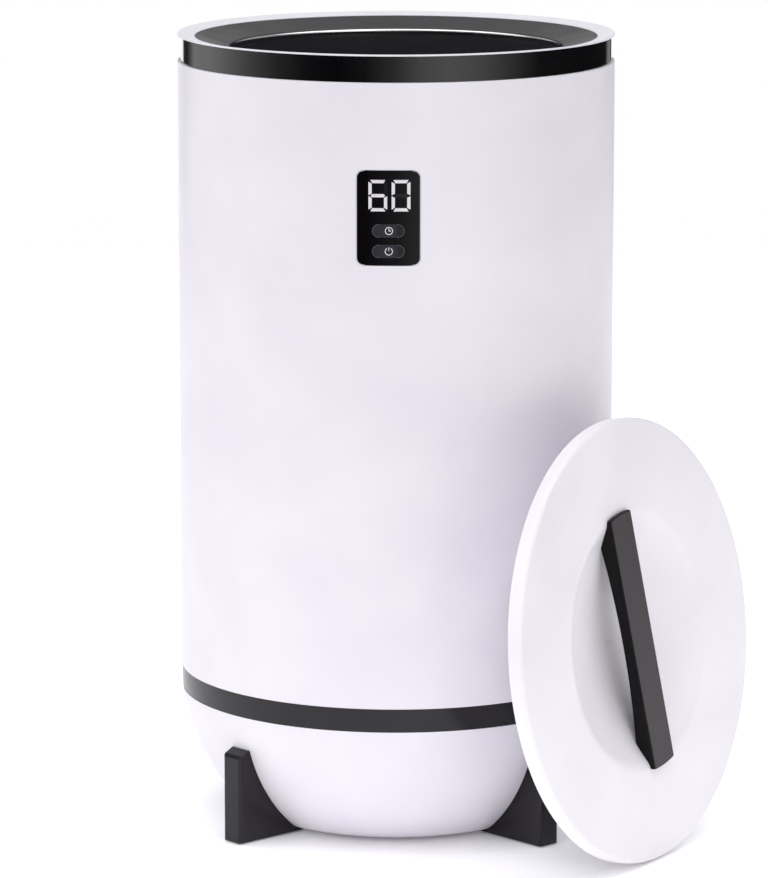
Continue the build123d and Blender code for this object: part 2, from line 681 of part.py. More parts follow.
def heat_shield():
    shield = disc(SHIELD_RADIUS, SHIELD_HEIGHT, SHIELD_TOP)
    holes = [Pos(x, y, 0) * disc(LEAD_DIAMETER, 0, BODY_HEIGHT) for x, y in base_lead_points()]
    holes.append(Pos(0, lead_circle() - 2, 0) * disc(3 * LEAD_DIAMETER, 0, BODY_HEIGHT))
    post_hole = clear_hole((POST_CIRCLE, 0, SHIELD_TOP), (0, 0, -1), MID_SCREW, SHIELD_WALL)
    holes += [Rot(0, 0, angle) * post_hole for angle in post_angles()]
    return cut(shield, holes)


def shield_screws():
    seat = (POST_CIRCLE, 0, SHIELD_TOP)
    return group([Rot(0, 0, angle) * screw(seat, (0, 0, -1), MID_SCREW) for angle in post_angles()])


# Electronics in the bowl

def main_board():
    length = MAIN_BOARD_LENGTH / 2
    width = MAIN_BOARD_WIDTH / 2
    board = block((-length, length), (-width, width), (MAIN_BOARD_HEIGHT, MAIN_BOARD_TOP))
    holes = []
    for x, y in board_screw_points():
        holes.append(clear_hole((x, y, MAIN_BOARD_TOP), (0, 0, -1), MID_SCREW, BOARD_WALL))
    return cut(board, holes)


def main_board_screws():
    return group([screw((x, y, MAIN_BOARD_TOP), (0, 0, -1), MID_SCREW) for x, y in board_screw_points()])


def on_board(x, y, length, width, height):
    across = (x - length / 2, x + length / 2)
    along = (y - width / 2, y + width / 2)
    return block(across, along, (MAIN_BOARD_TOP, MAIN_BOARD_TOP + height))


def transformer():
    core = on_board(-30, 6, 36, 24, 28)
    winding = on_board(-30, 6, 24, 32, 22)
    return core + winding


def relay():
    return on_board(6, 24, 19, 15.5, 15.8)


def capacitor():
    return Pos(6, -6, 0) * disc(6.5, MAIN_BOARD_TOP, MAIN_BOARD_TOP + 22)


def fuse_holder():
    base = on_board(32, -22, 26, 9, 4)
    return base + rod((20, -22, MAIN_BOARD_TOP + 6), (1, 0, 0), 3, 24)


def terminal_block():
    body = on_board(TERMINAL_X, TERMINAL_Y, TERMINAL_LENGTH, TERMINAL_WIDTH, TERMINAL_WALL)
    return body


def board_header():
    return on_board(HEADER_X, HEADER_Y, 12, 6, HEADER_WALL)


def harness_height():
    return MAIN_BOARD_TOP + HEADER_WALL / 2


def display_harness():
    """The cable from the display board down inside the wall to the main board."""
    near = BOARD_FRONT + HARNESS_DIAMETER / 2
    wall = SHELL_INSIDE - HARNESS_DIAMETER / 2 - 4.3
    wall_y = sqrt(wall ** 2 - HEADER_X ** 2)
    board_end = PANEL_CENTRE - BOARD_HEIGHT / 2 + 5
    points = [
        (HEADER_X, -near, board_end),
        (HEADER_X, -near, board_end - 18),
        (HEADER_X, -wall_y, board_end - 48),
        (HEADER_X, -wall_y, SHIELD_HEIGHT - 8),
        (HEADER_X, -wall_y + 18, SHIELD_HEIGHT - 32),
        (HEADER_X, -74, harness_height() + 3),
        (HEADER_X, -54, harness_height()),
        (HEADER_X, HEADER_Y - 3, harness_height()),
    ]
    return wire_run(points, HARNESS_DIAMETER)


def heater_leads():
    """Two leads to the mat on the pot's side and two to the heater under the pot."""
    top = MAIN_BOARD_TOP + TERMINAL_WALL
    step = TERMINAL_LENGTH / 4
    posts = [TERMINAL_X + step * (place - 1.5) for place in range(4)]
    climb = lead_circle()
    leads = []
    for x, end in zip(posts[:2], (-4, 4)):
        points = [
            (x, TERMINAL_Y, top),
            (x, TERMINAL_Y, top + 14),
            (x * 0.4 + end, 62, top + 28),
            (end, climb - 10, SHIELD_HEIGHT - 12),
            (end, climb, SHIELD_HEIGHT + 10),
            (end, climb, HEATER_MAT_BOTTOM),
        ]
        leads.append(wire_run(points, LEAD_DIAMETER))
    for x, end in zip(posts[2:], base_lead_points()):
        points = [
            (x, TERMINAL_Y, top),
            (x, TERMINAL_Y, top + 12),
            (end[0], end[1], SHIELD_HEIGHT - 10),
            (end[0], end[1], POT_BOTTOM - BASE_HEATER_WALL),
        ]
        leads.append(wire_run(points, LEAD_DIAMETER))
    return group(leads)


# Cord entry

def cord_gland():
    face = BODY_RADIUS + SKIN_GAP
    flange_end = face + GLAND_FLANGE_WALL
    tail = BODY_RADIUS - GLAND_TAIL
    flange = gland_cylinder(GLAND_FLANGE_RADIUS, SHELL_INSIDE, flange_end)
    span = 2 * GLAND_FLANGE_RADIUS
    flange = flange - disc(face, GLAND_HEIGHT - span, GLAND_HEIGHT + span)
    thread = gland_cylinder(GLAND_THREAD_RADIUS, tail, flange_end)
    nose = gland_cylinder(GLAND_NOSE_RADIUS, flange_end - 1, flange_end + GLAND_NOSE)
    return flange + thread + nose - gland_cylinder(GLAND_BORE, tail, flange_end + GLAND_NOSE)


def gland_nut():
    inside = SHELL_INSIDE - SKIN_GAP
    start = Plane(origin=(0, inside - GLAND_NUT_WALL, GLAND_HEIGHT), z_dir=(0, 1, 0))
    nut = start * extrude(RegularPolygon(GLAND_NUT_RADIUS, 6), GLAND_NUT_WALL)
    nut = nut & disc(inside, GLAND_HEIGHT - 2 * GLAND_NUT_RADIUS, GLAND_HEIGHT + 2 * GLAND_NUT_RADIUS)
    return nut - gland_cylinder(GLAND_THREAD_RADIUS + THREAD_GAP, 0, BODY_RADIUS)


# Control panel

def segment_outlines():
    """The seven strokes of a digit, a to g, from its lower left corner."""
    wide, tall, stroke = DIGIT_WIDTH, DIGIT_HEIGHT, DIGIT_STROKE
    joint, corner, middle = DIGIT_JOINT, DIGIT_CORNER, DIGIT_HEIGHT / 2
    top = [
        (corner + joint, tall),
        (wide - corner - joint, tall),
        (wide - stroke - joint, tall - stroke),
        (stroke + joint, tall - stroke),
    ]
    side = [
        (0, tall - corner - joint),
        (stroke, tall - stroke - joint),
        (stroke, middle + stroke / 2 + joint),
        (0, middle + joint),
    ]
    bar = [
        (stroke / 2 + joint, middle),
        (stroke + joint, middle + stroke / 2),
        (wide - stroke - joint, middle + stroke / 2),
        (wide - stroke / 2 - joint, middle),
        (wide - stroke - joint, middle - stroke / 2),
        (stroke + joint, middle - stroke / 2),
    ]

    def flipped(points, across, up):
        return [(wide - x if across else x, tall - y if up else y) for x, y in points]

    return {
        "a": top,
        "b": flipped(side, True, False),
        "c": flipped(side, True, True),
        "d": flipped(top, False, True),
        "e": flipped(side, False, True),
        "f": side,
        "g": bar,
    }


def segments(choice, far):
    """Prisms of the chosen strokes of both digits; choice gives the letters for each digit."""
    near = PANEL_FACE - DIGIT_WALL
    outlines = segment_outlines()
    solids = []
    for place, letters in zip((-1, 1), choice):
        left = DIGIT_SHIFT + place * DIGIT_PITCH / 2 - DIGIT_WIDTH / 2
        low = DIGIT_CENTRE - DIGIT_HEIGHT / 2
        for letter in letters:
            points = [(left + x, low + y) for x, y in outlines[letter]]
            solids.append(toward_front(make_face(Polyline(*points, close=True)), near - 3, far))
    return solids


def digit_inlay(choice):
    """Strokes that lie in the panel, with the panel's curve in front."""
    low, high = DIGIT_CENTRE - DIGIT_HEIGHT, DIGIT_CENTRE + DIGIT_HEIGHT
    curve = tube(PANEL_FACE - DIGIT_WALL, PANEL_FACE + DIGIT_PROUD, low, high)
    return group([prism & curve for prism in segments(choice, BODY_RADIUS)])


def lit_digits():
    return digit_inlay(("acdefg", "abcdef"))


def unlit_digits():
    return digit_inlay(("b", "g"))


def panel_lens():
    low, high = PANEL_CENTRE - PANEL_HEIGHT, PANEL_CENTRE + PANEL_HEIGHT
    near = HOUSING_BACK
    face = toward_front(panel_outline(0), near, BODY_RADIUS + 1)
    flange = toward_front(panel_outline(PANEL_FLANGE), near, BODY_RADIUS + 1)
    lens = face & tube(PANEL_FLANGE_BACK, PANEL_FACE, low, high)
    lens = lens + (flange & tube(PANEL_FLANGE_BACK, SHELL_INSIDE - SKIN_GAP, low, high))
    inlay = tube(PANEL_FACE - DIGIT_WALL, BODY_RADIUS, low, high)
    lens = cut(lens, [prism & inlay for prism in segments(("abcdefg", "abcdefg"), BODY_RADIUS)])
    for height in (TIMER_HEIGHT, POWER_HEIGHT):
        lens = lens - button_prism(height, BUTTON_GAP)
    return lens


def button_prism(height, growth):
    outline = Pos(0, height) * SlotOverall(BUTTON_WIDTH + 2 * growth, BUTTON_HEIGHT + 2 * growth)
    return toward_front(outline, HOUSING_BACK, BODY_RADIUS + 1)


def button(height):
    """A capsule key with a flange behind the panel and a stem down to its switch."""
    low, high = height - BUTTON_HEIGHT, height + BUTTON_HEIGHT
    flange_face = PANEL_FLANGE_BACK - BUTTON_GAP
    flange_back = flange_face - BUTTON_FLANGE_WALL
    key = button_prism(height, 0) & tube(flange_back, BODY_RADIUS + BUTTON_PROUD, low, high)
    flange = button_prism(height, BUTTON_FLANGE) & tube(flange_back, flange_face, low, high)
    stem_length = flange_back + BUTTON_FLANGE_WALL / 2 - PLUNGER_FACE
    stem = rod((0, -PLUNGER_FACE, height), (0, -1, 0), STEM_RADIUS, stem_length)
    return key + flange + stem


def plunger(height):
    return rod((0, -PLUNGER_FACE, height), (0, 1, 0), PLUNGER_RADIUS, PLUNGER_LENGTH)


def switch(height):
    half = SWITCH_SIZE / 2
    body = block((-half, half), (-SWITCH_FACE, -BOARD_FRONT), (height - half, height + half))
    bore = PLUNGER_RADIUS + SWITCH_BORE_GAP
    return body - rod((0, -SWITCH_FACE, height), (0, 1, 0), bore, SWITCH_WALL - SWITCH_FLOOR)


def board_corner_points():
    x = BOARD_WIDTH / 2 - 2 * SMALL_SCREW[0]
    z = BOARD_HEIGHT / 2 - 2 * SMALL_SCREW[0]
    return [(side * x, PANEL_CENTRE + end * z) for side in (-1, 1) for end in (-1, 1)]


def display_board():
    half = BOARD_WIDTH / 2
    tall = BOARD_HEIGHT / 2
    board = block((-half, half), (-BOARD_FRONT, -BOARD_BACK), (PANEL_CENTRE - tall, PANEL_CENTRE + tall))
    holes = []
    for x, z in board_corner_points():
        holes.append(clear_hole((x, -BOARD_FRONT, z), (0, 1, 0), SMALL_SCREW, BOARD_WALL))
    return cut(board, holes)


def display_screws():
    return group([screw((x, -BOARD_FRONT, z), (0, 1, 0), SMALL_SCREW) for x, z in board_corner_points()])


def display_module():
    half = MODULE_WIDTH / 2
    tall = MODULE_HEIGHT / 2
    face = BOARD_FRONT + MODULE_WALL
    return block((-half, half), (-face, -BOARD_FRONT), (DIGIT_CENTRE - tall, DIGIT_CENTRE + tall))


def buzzer():
    seat = (BUZZER_X, -BOARD_FRONT, (TIMER_HEIGHT + POWER_HEIGHT) / 2)
    vent = (seat[0], seat[1] - BUZZER_WALL, seat[2])
    return rod(seat, (0, -1, 0), BUZZER_RADIUS, BUZZER_WALL) - rod(vent, (0, 1, 0), BUZZER_VENT, BUZZER_VENT)


def housing_tab(height):
    """Tab from the tray's end wall to one of the screws that hold it to the shell."""
    end = PANEL_CENTRE + (HOUSING_INNER_END if height > PANEL_CENTRE else -HOUSING_INNER_END)
    tip = height + (POST_RADIUS if height > PANEL_CENTRE else -POST_RADIUS)
    return block((-TAB_HALF_WIDTH, TAB_HALF_WIDTH), (-TAB_FRONT, -TAB_FACE), sorted((end, tip)))


def panel_housing():
    """A tray behind the panel that holds the display board."""
    inner = panel_outline(PANEL_FLANGE + HOUSING_GAP)
    outer = panel_outline(PANEL_FLANGE + HOUSING_GAP + HOUSING_WALL)
    tray = toward_front(outer, HOUSING_BACK - HOUSING_WALL, BODY_RADIUS)
    tray = joined(tray - toward_front(inner, HOUSING_BACK, BODY_RADIUS), [
        housing_tab(height) for height in housing_screw_heights()
    ])
    reach = 2 * PANEL_HEIGHT
    tray = tray & disc(SHELL_INSIDE - SKIN_GAP, PANEL_CENTRE - reach, PANEL_CENTRE + reach)
    stand_length = BOARD_BACK - HOUSING_BACK
    for x, z in board_corner_points():
        tray = tray + rod((x, -HOUSING_BACK, z), (0, -1, 0), 2 * SMALL_SCREW[0], stand_length)
    holes = [thread_hole((x, -BOARD_FRONT, z), (0, 1, 0), SMALL_SCREW) for x, z in board_corner_points()]
    for height in housing_screw_heights():
        holes.append(clear_hole((0, -TAB_FACE, height), (0, -1, 0), MID_SCREW, HOUSING_WALL))
    slot = HARNESS_DIAMETER
    slot_top = PANEL_CENTRE - PANEL_HEIGHT / 2
    holes.append(block((HEADER_X - slot, HEADER_X + slot), (-BODY_RADIUS, -BOARD_FRONT), (0, slot_top)))
    return cut(tray, holes)


def panel_screws():
    return group([screw((0, -TAB_FACE, z), (0, -1, 0), MID_SCREW) for z in housing_screw_heights()])


# Lid, built about its own axis

def dish_curve():
    """Radius and centre height of the lid's hollow, and where its edge round begins."""
    slope = radians(DISH_SLOPE)
    joint = DISH_RADIUS - DISH_ROUND * sin(slope)
    radius = joint / sin(slope)
    joint_drop = DISH_ROUND * (1 - cos(slope))
    centre = radius * cos(slope) - joint_drop
    return radius, centre


def dish_edges(depth):
    """The hollow's outline, moved down into the lid's wall by a depth, from the axis outward."""
    radius, centre = dish_curve()
    slope = radians(DISH_SLOPE)
    return [
        arc((0, centre), radius + depth, -pi / 2, -pi / 2 + slope),
        arc((DISH_RADIUS, -DISH_ROUND), DISH_ROUND - depth, pi / 2 + slope, pi / 2),
    ]


def dish_height(radius, depth=0.0):
    curve, centre = dish_curve()
    return centre - sqrt((curve + depth) ** 2 - radius ** 2)


def under_dish(depth):
    """Everything below the hollow, moved down by a depth."""
    bottom = -LID_THICKNESS - PLUG_DEPTH
    return turned(
        *dish_edges(depth),
        Line((DISH_RADIUS, -depth), (DISH_RADIUS, bottom)),
        Line((DISH_RADIUS, bottom), (0, bottom)),
        Line((0, bottom), (0, dish_height(0, depth))),
    )


def handle_screw_points():
    return [Rot(0, 0, HANDLE_TURN) * Pos(0, reach, 0) for reach in (-HANDLE_SCREW_REACH, HANDLE_SCREW_REACH)]


def lid_cover():
    bottom = dish_height(0)
    inner = LID_RADIUS - LID_SKIN
    cover = turned(
        *dish_edges(0),
        Line((DISH_RADIUS, 0), (LID_RADIUS - LID_ROUND, 0)),
        arc((LID_RADIUS - LID_ROUND, -LID_ROUND), LID_ROUND, pi / 2, 0),
        Line((LID_RADIUS, -LID_ROUND), (LID_RADIUS, -LID_THICKNESS + LID_BACK_ROUND)),
        arc((LID_RADIUS - LID_BACK_ROUND, -LID_THICKNESS + LID_BACK_ROUND), LID_BACK_ROUND, 0, -pi / 2),
        Line((LID_RADIUS - LID_BACK_ROUND, -LID_THICKNESS), (inner, -LID_THICKNESS)),
        Line((inner, -LID_THICKNESS), (inner, -LID_SKIN)),
        Line((inner, -LID_SKIN), (DISH_RADIUS, -LID_SKIN)),
        *dish_edges(LID_SKIN),
        Line((0, bottom - LID_SKIN), (0, bottom)),
    )
    boss = disc(LID_BOSS_RADIUS, -LID_THICKNESS + LINER_FLANGE, -LID_SKIN / 2)
    bosses = spread(LID_SCREWS, Pos(0, LID_SCREW_CIRCLE, 0) * boss)
    boss_top = dish_height(HANDLE_SCREW_REACH, LID_SKIN / 2) + 2 * HANDLE_SCREW[0]
    for place in handle_screw_points():
        boss = place * disc(HANDLE_SCREW[2] + 1, -HANDLE_SEAT_DROP, boss_top)
        bosses.append(boss & under_dish(LID_SKIN / 2))
    cover = joined(cover, bosses)
    seat = (0, LID_SCREW_CIRCLE, -LID_THICKNESS)
    holes = spread(LID_SCREWS, thread_hole(seat, (0, 0, 1), LID_SCREW))
    for place in handle_screw_points():
        holes.append(place * clear_hole((0, 0, -HANDLE_SEAT_DROP), (0, 0, 1), HANDLE_SCREW, HANDLE_SCREW[1]))
    return cut(cover, holes)


def plug_cone():
    """The angle of the plug's cone, from flat, and how far its inside lies above its outside."""
    slope = atan2(PLUG_DEPTH - PLUG_SHOULDER_DEPTH, PLUG_SHOULDER_RADIUS - PLUG_TIP_RADIUS)
    return slope, PLUG_WALL / cos(slope)


def plug_tip_bend():
    """The radius at which the plug's flat end starts to round into the cone."""
    slope = plug_cone()[0]
    return PLUG_TIP_RADIUS - PLUG_ROUND * tan(slope / 2)


def cone_inside(height):
    """The radius of the cone's inside at a height."""
    slope, lift = plug_cone()
    tip = -LID_THICKNESS - PLUG_DEPTH
    return PLUG_TIP_RADIUS + (height - tip - lift) / tan(slope)


def lid_liner():
    """The plug that goes into the pot's mouth, with the flange that closes the lid's back."""
    back = -LID_THICKNESS
    tip = back - PLUG_DEPTH
    top = back + LINER_FLANGE
    slope, lift = plug_cone()
    shoulder = (PLUG_SHOULDER_RADIUS, back - PLUG_SHOULDER_DEPTH)
    bend = plug_tip_bend()
    bend_end = (bend + PLUG_ROUND * sin(slope), tip + PLUG_ROUND * (1 - cos(slope)))
    flange_radius = LID_RADIUS - LID_SKIN - LINER_GAP
    wall_top = (PLUG_RADIUS - PLUG_WALL, top)
    wall_shoulder = (shoulder[0] - PLUG_WALL, shoulder[1] + lift - PLUG_WALL * tan(slope))
    wall_foot = (cone_inside(tip + PLUG_WALL), tip + PLUG_WALL)
    liner = turned(
        Line((0, tip), (bend, tip)),
        arc((bend, tip + PLUG_ROUND), PLUG_ROUND, -pi / 2, slope - pi / 2),
        Line(bend_end, shoulder),
        Line(shoulder, (PLUG_RADIUS, back)),
        Line((PLUG_RADIUS, back), (flange_radius, back)),
        Line((flange_radius, back), (flange_radius, top)),
        Line((flange_radius, top), wall_top),
        Line(wall_top, wall_shoulder),
        Line(wall_shoulder, wall_foot),
        Line(wall_foot, (0, tip + PLUG_WALL)),
        Line((0, tip + PLUG_WALL), (0, tip)),
    )
    circles = liner.edges().filter_by(GeomType.CIRCLE)
    bends = circles.filter_by(lambda edge: abs(edge.radius - PLUG_SHOULDER_RADIUS) < 0.01)
    liner = fillet(bends, PLUG_ROUND)
    holes = spread(LID_SCREWS, clear_hole((0, LID_SCREW_CIRCLE, back), (0, 0, 1), LID_SCREW, LINER_FLANGE))
    return cut(liner, [gasket_ring()] + holes)


def gasket_ring():
    """The gasket's outline, which is also the groove it lies in."""
    low = -LID_THICKNESS - GASKET_PROUD
    half = GASKET_WIDTH / 2
    return tube(GASKET_RADIUS - half, GASKET_RADIUS + half, low, low + GASKET_WALL)


def lid_gasket():
    ring = gasket_ring()
    circles = ring.edges().filter_by(GeomType.CIRCLE)
    return fillet(circles.filter_by(lambda edge: edge.center().Z < -LID_THICKNESS), EDGE_ROUND)


def lid_screws():
    seat = (0, LID_SCREW_CIRCLE, -LID_THICKNESS)
    return group(spread(LID_SCREWS, screw(seat, (0, 0, 1), LID_SCREW)))


def lid_foam():
    """Insulation between the hollow and the plug's end, shaped like the cone that it lies in."""
    low = -LID_THICKNESS - PLUG_DEPTH + PLUG_WALL
    high = dish_height(0, LID_SKIN) - LID_FOAM_GAP
    low_radius = cone_inside(low) - LID_FOAM_GAP
    high_radius = cone_inside(high) - LID_FOAM_GAP
    return turned(
        Line((0, low), (low_radius, low)),
        Line((low_radius, low), (high_radius, high)),
        Line((high_radius, high), (0, high)),
        Line((0, high), (0, low)),
    )


def handle_arch():
    """What the bar's arched underside leaves free, as a round bar of that arch's radius."""
    radius = (HANDLE_ARCH_REACH ** 2 + HANDLE_ARCH ** 2) / (2 * HANDLE_ARCH)
    top = HANDLE_PROUD - HANDLE_WALL + HANDLE_ARCH
    return Pos(0, 0, top - radius) * Rot(0, 90, 0) * Cylinder(radius, 2 * HANDLE_WIDTH)


def lid_handle():
    """A bar across the hollow whose ends meet its wall and whose underside is arched for fingers."""
    outline = Circle(HANDLE_REACH) & Rectangle(HANDLE_WIDTH, 2 * HANDLE_REACH)
    bar = Pos(0, 0, HANDLE_PROUD - HANDLE_WALL) * extrude(outline, HANDLE_WALL)
    bar = fillet(bar.edges().filter_by(Axis.Z), HANDLE_CORNER)
    bar = fillet(bar.faces().sort_by(Axis.Z)[-1].edges(), HANDLE_ROUND)
    bar = bar - handle_arch()
    bar = Rot(0, 0, HANDLE_TURN) * (bar - Pos(0, 0, HANDLE_GAP) * under_dish(0))
    hole = thread_hole((0, 0, -HANDLE_SEAT_DROP), (0, 0, 1), HANDLE_SCREW)
    return cut(bar, [place * hole for place in handle_screw_points()])


def handle_screws():
    one = screw((0, 0, -HANDLE_SEAT_DROP), (0, 0, 1), HANDLE_SCREW)
    return group([place * one for place in handle_screw_points()])


def lid_rest_plane():
    """The lid's own frame where it stands on the floor with its plug against the wall."""
    facing, lean = radians(LID_FACING), radians(LID_LEAN)
    ahead = Vector(sin(facing), -cos(facing), 0)
    across = Vector(cos(facing), sin(facing), 0)
    normal = ahead * cos(lean) + Vector(0, 0, sin(lean))
    reach = BODY_RADIUS + LID_REST_GAP + PLUG_ROUND
    ring = plug_tip_bend()
    back = LID_THICKNESS + PLUG_DEPTH - PLUG_ROUND
    standoff = 0
    for step in range(360):
        side = LID_SIDE_SHIFT + ring * cos(radians(step))
        if abs(side) < reach:
            top = ring * sin(radians(step)) * sin(lean)
            standoff = max(standoff, sqrt(reach ** 2 - side ** 2) + back * cos(lean) + top)
    rounded = LID_RADIUS - LID_BACK_ROUND
    height = rounded * cos(lean) + (LID_THICKNESS - LID_BACK_ROUND) * sin(lean) + LID_BACK_ROUND
    centre = ahead * standoff + across * LID_SIDE_SHIFT + Vector(0, 0, height)
    return Plane(origin=centre, x_dir=across, z_dir=normal)


# Every node

def bucket_parts():
    parts = {
        "outer_shell": outer_shell(), "base_bowl": base_bowl(), "lower_trim_band": lower_trim_band(),
        "upper_trim_band": upper_trim_band(), "rim_ring": rim_ring(), "pot_collar": pot_collar(),
        "inner_pot": inner_pot(), "pot_screws": pot_screws(), "side_heater": side_heater(),
        "base_heater": base_heater(), "pot_spacers": pot_spacers(), "base_insulation": base_insulation(),
        "thermostat": thermostat(), "thermal_fuse": thermal_fuse(), "insulation_jacket": insulation_jacket(),
        "heat_shield": heat_shield(), "shield_screws": shield_screws(), "cord_gland": cord_gland(),
        "gland_nut": gland_nut(), "foot_pads": foot_pads(), "leg_screws": leg_screws(),
    }
    for name, angle in LEG_ANGLES.items():
        parts[name] = leg(angle)
    return parts


def electric_parts():
    return {
        "main_board": main_board(), "main_board_screws": main_board_screws(), "transformer": transformer(),
        "relay": relay(), "capacitor": capacitor(), "fuse_holder": fuse_holder(),
        "terminal_block": terminal_block(), "board_header": board_header(),
        "display_harness": display_harness(), "heater_leads": heater_leads(),
    }


def panel_parts():
    return {
        "panel_lens": panel_lens(), "lit_digits": lit_digits(), "unlit_digits": unlit_digits(),
        "panel_housing": panel_housing(), "panel_screws": panel_screws(), "display_board": display_board(),
        "display_screws": display_screws(), "display_module": display_module(), "buzzer": buzzer(),
        "timer_switch": switch(TIMER_HEIGHT), "power_switch": switch(POWER_HEIGHT),
        "timer_plunger": plunger(TIMER_HEIGHT), "power_plunger": plunger(POWER_HEIGHT),
        "timer_button": button(TIMER_HEIGHT), "power_button": button(POWER_HEIGHT),
    }


def lid_parts():
    parts = {
        "lid_cover": lid_cover(), "lid_liner": lid_liner(), "lid_gasket": lid_gasket(),
        "lid_screws": lid_screws(), "lid_foam": lid_foam(), "lid_handle": lid_handle(),
        "handle_screws": handle_screws(),
    }
    place = lid_rest_plane().location
    return {name: place * solid for name, solid in parts.items()}


os.makedirs("parts", exist_ok=True)
for collection in (bucket_parts(), electric_parts(), panel_parts(), lid_parts()):
    for name, solid in collection.items():
        export_step(solid, f"parts/{name}.step")
lid_frame = lid_rest_plane()
print("lid centre", lid_frame.origin, "faces", lid_frame.z_dir)
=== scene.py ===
# %% [markdown]
# # A towel warmer bucket
# The part is a heated pot inside a white moulded shell. It stands on four dark legs, and its lid
# leans against its side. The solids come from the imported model, so this lesson adds the camera,
# the studio, the finishes and the fine raised details that are too small for the solids.

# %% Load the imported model
import bpy
import bmesh
import json
from math import atan2, cos, pi, radians, sin, sqrt
from mathutils import Matrix, Vector


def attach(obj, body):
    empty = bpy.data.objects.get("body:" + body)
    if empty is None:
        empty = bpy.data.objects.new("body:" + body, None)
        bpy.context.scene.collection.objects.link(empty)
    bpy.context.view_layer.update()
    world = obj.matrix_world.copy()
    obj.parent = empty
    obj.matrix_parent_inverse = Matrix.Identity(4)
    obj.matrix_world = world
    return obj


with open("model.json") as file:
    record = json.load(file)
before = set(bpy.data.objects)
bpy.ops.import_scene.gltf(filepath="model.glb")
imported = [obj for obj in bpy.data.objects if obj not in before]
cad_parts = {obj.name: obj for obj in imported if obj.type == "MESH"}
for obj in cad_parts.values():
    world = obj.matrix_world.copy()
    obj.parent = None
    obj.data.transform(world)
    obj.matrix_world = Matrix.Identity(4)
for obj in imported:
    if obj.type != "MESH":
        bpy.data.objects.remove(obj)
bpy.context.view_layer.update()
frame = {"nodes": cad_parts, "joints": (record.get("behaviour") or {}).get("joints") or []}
MM = 0.001

# %% [markdown]
# ## The camera
# A long lens from a few metres away keeps the tall body's sides nearly parallel. The camera looks
# slightly down, so that the rim shows as a thin ellipse with the pot behind it.

# %% Place the camera
CAMERA_AT = (0.1082, -3.1982, 0.8503)
CAMERA_DOWN = radians(10.566)
CAMERA_TURN = radians(2.081)
CAMERA_LENS = 198.31
camera_data = bpy.data.cameras.new("camera")
camera_data.lens = CAMERA_LENS
camera_data.sensor_width = 36
camera_data.clip_end = 50
camera = bpy.data.objects.new("camera", camera_data)
camera.location = CAMERA_AT
camera.rotation_euler = (pi / 2 - CAMERA_DOWN, 0, CAMERA_TURN)
bpy.context.collection.objects.link(camera)
bpy.context.scene.camera = camera
bpy.context.scene.view_settings.view_transform = "Standard"
print("lens", CAMERA_LENS, "mm at", CAMERA_AT)

# %% [markdown]
# ## Two helpers for every finish
# Colours are chosen as they look on a screen, in sRGB, but the renderer adds light in linear
# numbers, so one function turns each hex value into linear. A second one adds a node, sets it and
# links it, which keeps each finish readable as a short recipe.


# %% Colour and node helpers
def srgb(code):
    """Linear colour of a screen colour such as #EDEAF2."""
    channels = [int(code[place:place + 2], 16) / 255 for place in (1, 3, 5)]
    return [c / 12.92 if c <= 0.04045 else ((c + 0.055) / 1.055) ** 2.4 for c in channels] + [1]


def add(tree, kind, sockets=None, **settings):
    """Adds one node. A socket takes a plain value or the output of another node."""
    made = tree.nodes.new(kind)
    for name, value in settings.items():
        setattr(made, name, value)
    for name, value in (sockets or {}).items():
        if isinstance(value, bpy.types.NodeSocket):
            tree.links.new(value, made.inputs[name])
        else:
            made.inputs[name].default_value = value
    return made


print("white ABS is", [round(c, 3) for c in srgb("#EDEAF2")])

# %% [markdown]
# ## The studio
# White goods are shot in a white room. The eye sees a white background, matt surfaces are lit from
# all sides, and glossy ones mirror softboxes with dark gaps between them, which is what makes black
# plastic look glossy. So the world shows its softboxes to glossy rays only: their brightness is a
# ramp around the horizon, from straight behind the object, past its left, front and right sides.

# %% World with softboxes
world = bpy.data.worlds.new("white_room")
bpy.context.scene.world = world
world.use_nodes = True
sky = world.node_tree
sky.nodes.clear()
SOFTBOXES = [
    (-180, 1.2), (-168, 1.5), (-158, 2.0), (-155, 0.05), (-146, 0.05), (-140, 0.3), (-134, 0.88),
    (-125, 1.07), (-115, 1.4), (-105, 1.42), (-94, 1.2), (-85, 0.9), (-65, 0.33), (-47, 0.06),
    (-30, 0.01), (-14, 0.09), (2, 0.46), (17, 1.2), (30, 1.45), (45, 1.2), (60, 0.66), (72, 0.3),
    (84, 0.06), (120, 0.02), (152, 0.02), (155, 0.3), (163, 0.45), (166, 0.03), (170, 0.03),
    (174, 2.0), (180, 1.2),
]
MATT_LEVEL = 0.52
SOFTBOX_LIMIT = 3.0
ray = add(sky, "ShaderNodeTexCoord").outputs["Generated"]
parts = add(sky, "ShaderNodeSeparateXYZ", {"Vector": ray}).outputs
ahead = add(sky, "ShaderNodeMath", {0: parts["Y"], 1: -1.0}, operation="MULTIPLY").outputs[0]
turn = add(sky, "ShaderNodeMath", {0: parts["X"], 1: ahead}, operation="ARCTAN2").outputs[0]
around = add(sky, "ShaderNodeMapRange", {"Value": turn, "From Min": -pi, "From Max": pi}).outputs[0]
ramp = add(sky, "ShaderNodeValToRGB", {"Fac": around})
for place, (degrees_round, level) in enumerate(SOFTBOXES):
    stop = (degrees_round + 180) / 360
    at_end = place in (0, len(SOFTBOXES) - 1)
    mark = ramp.color_ramp.elements[-1 if place else 0] if at_end else ramp.color_ramp.elements.new(stop)
    mark.position = stop
    mark.color = [level / SOFTBOX_LIMIT] * 3 + [1]
ROOF = {"front": (0.3, 0.55, 0.8), "back": (0.0, 0.12, 0.14)}
BEHIND = (0.1, 0.3)
walls = {}
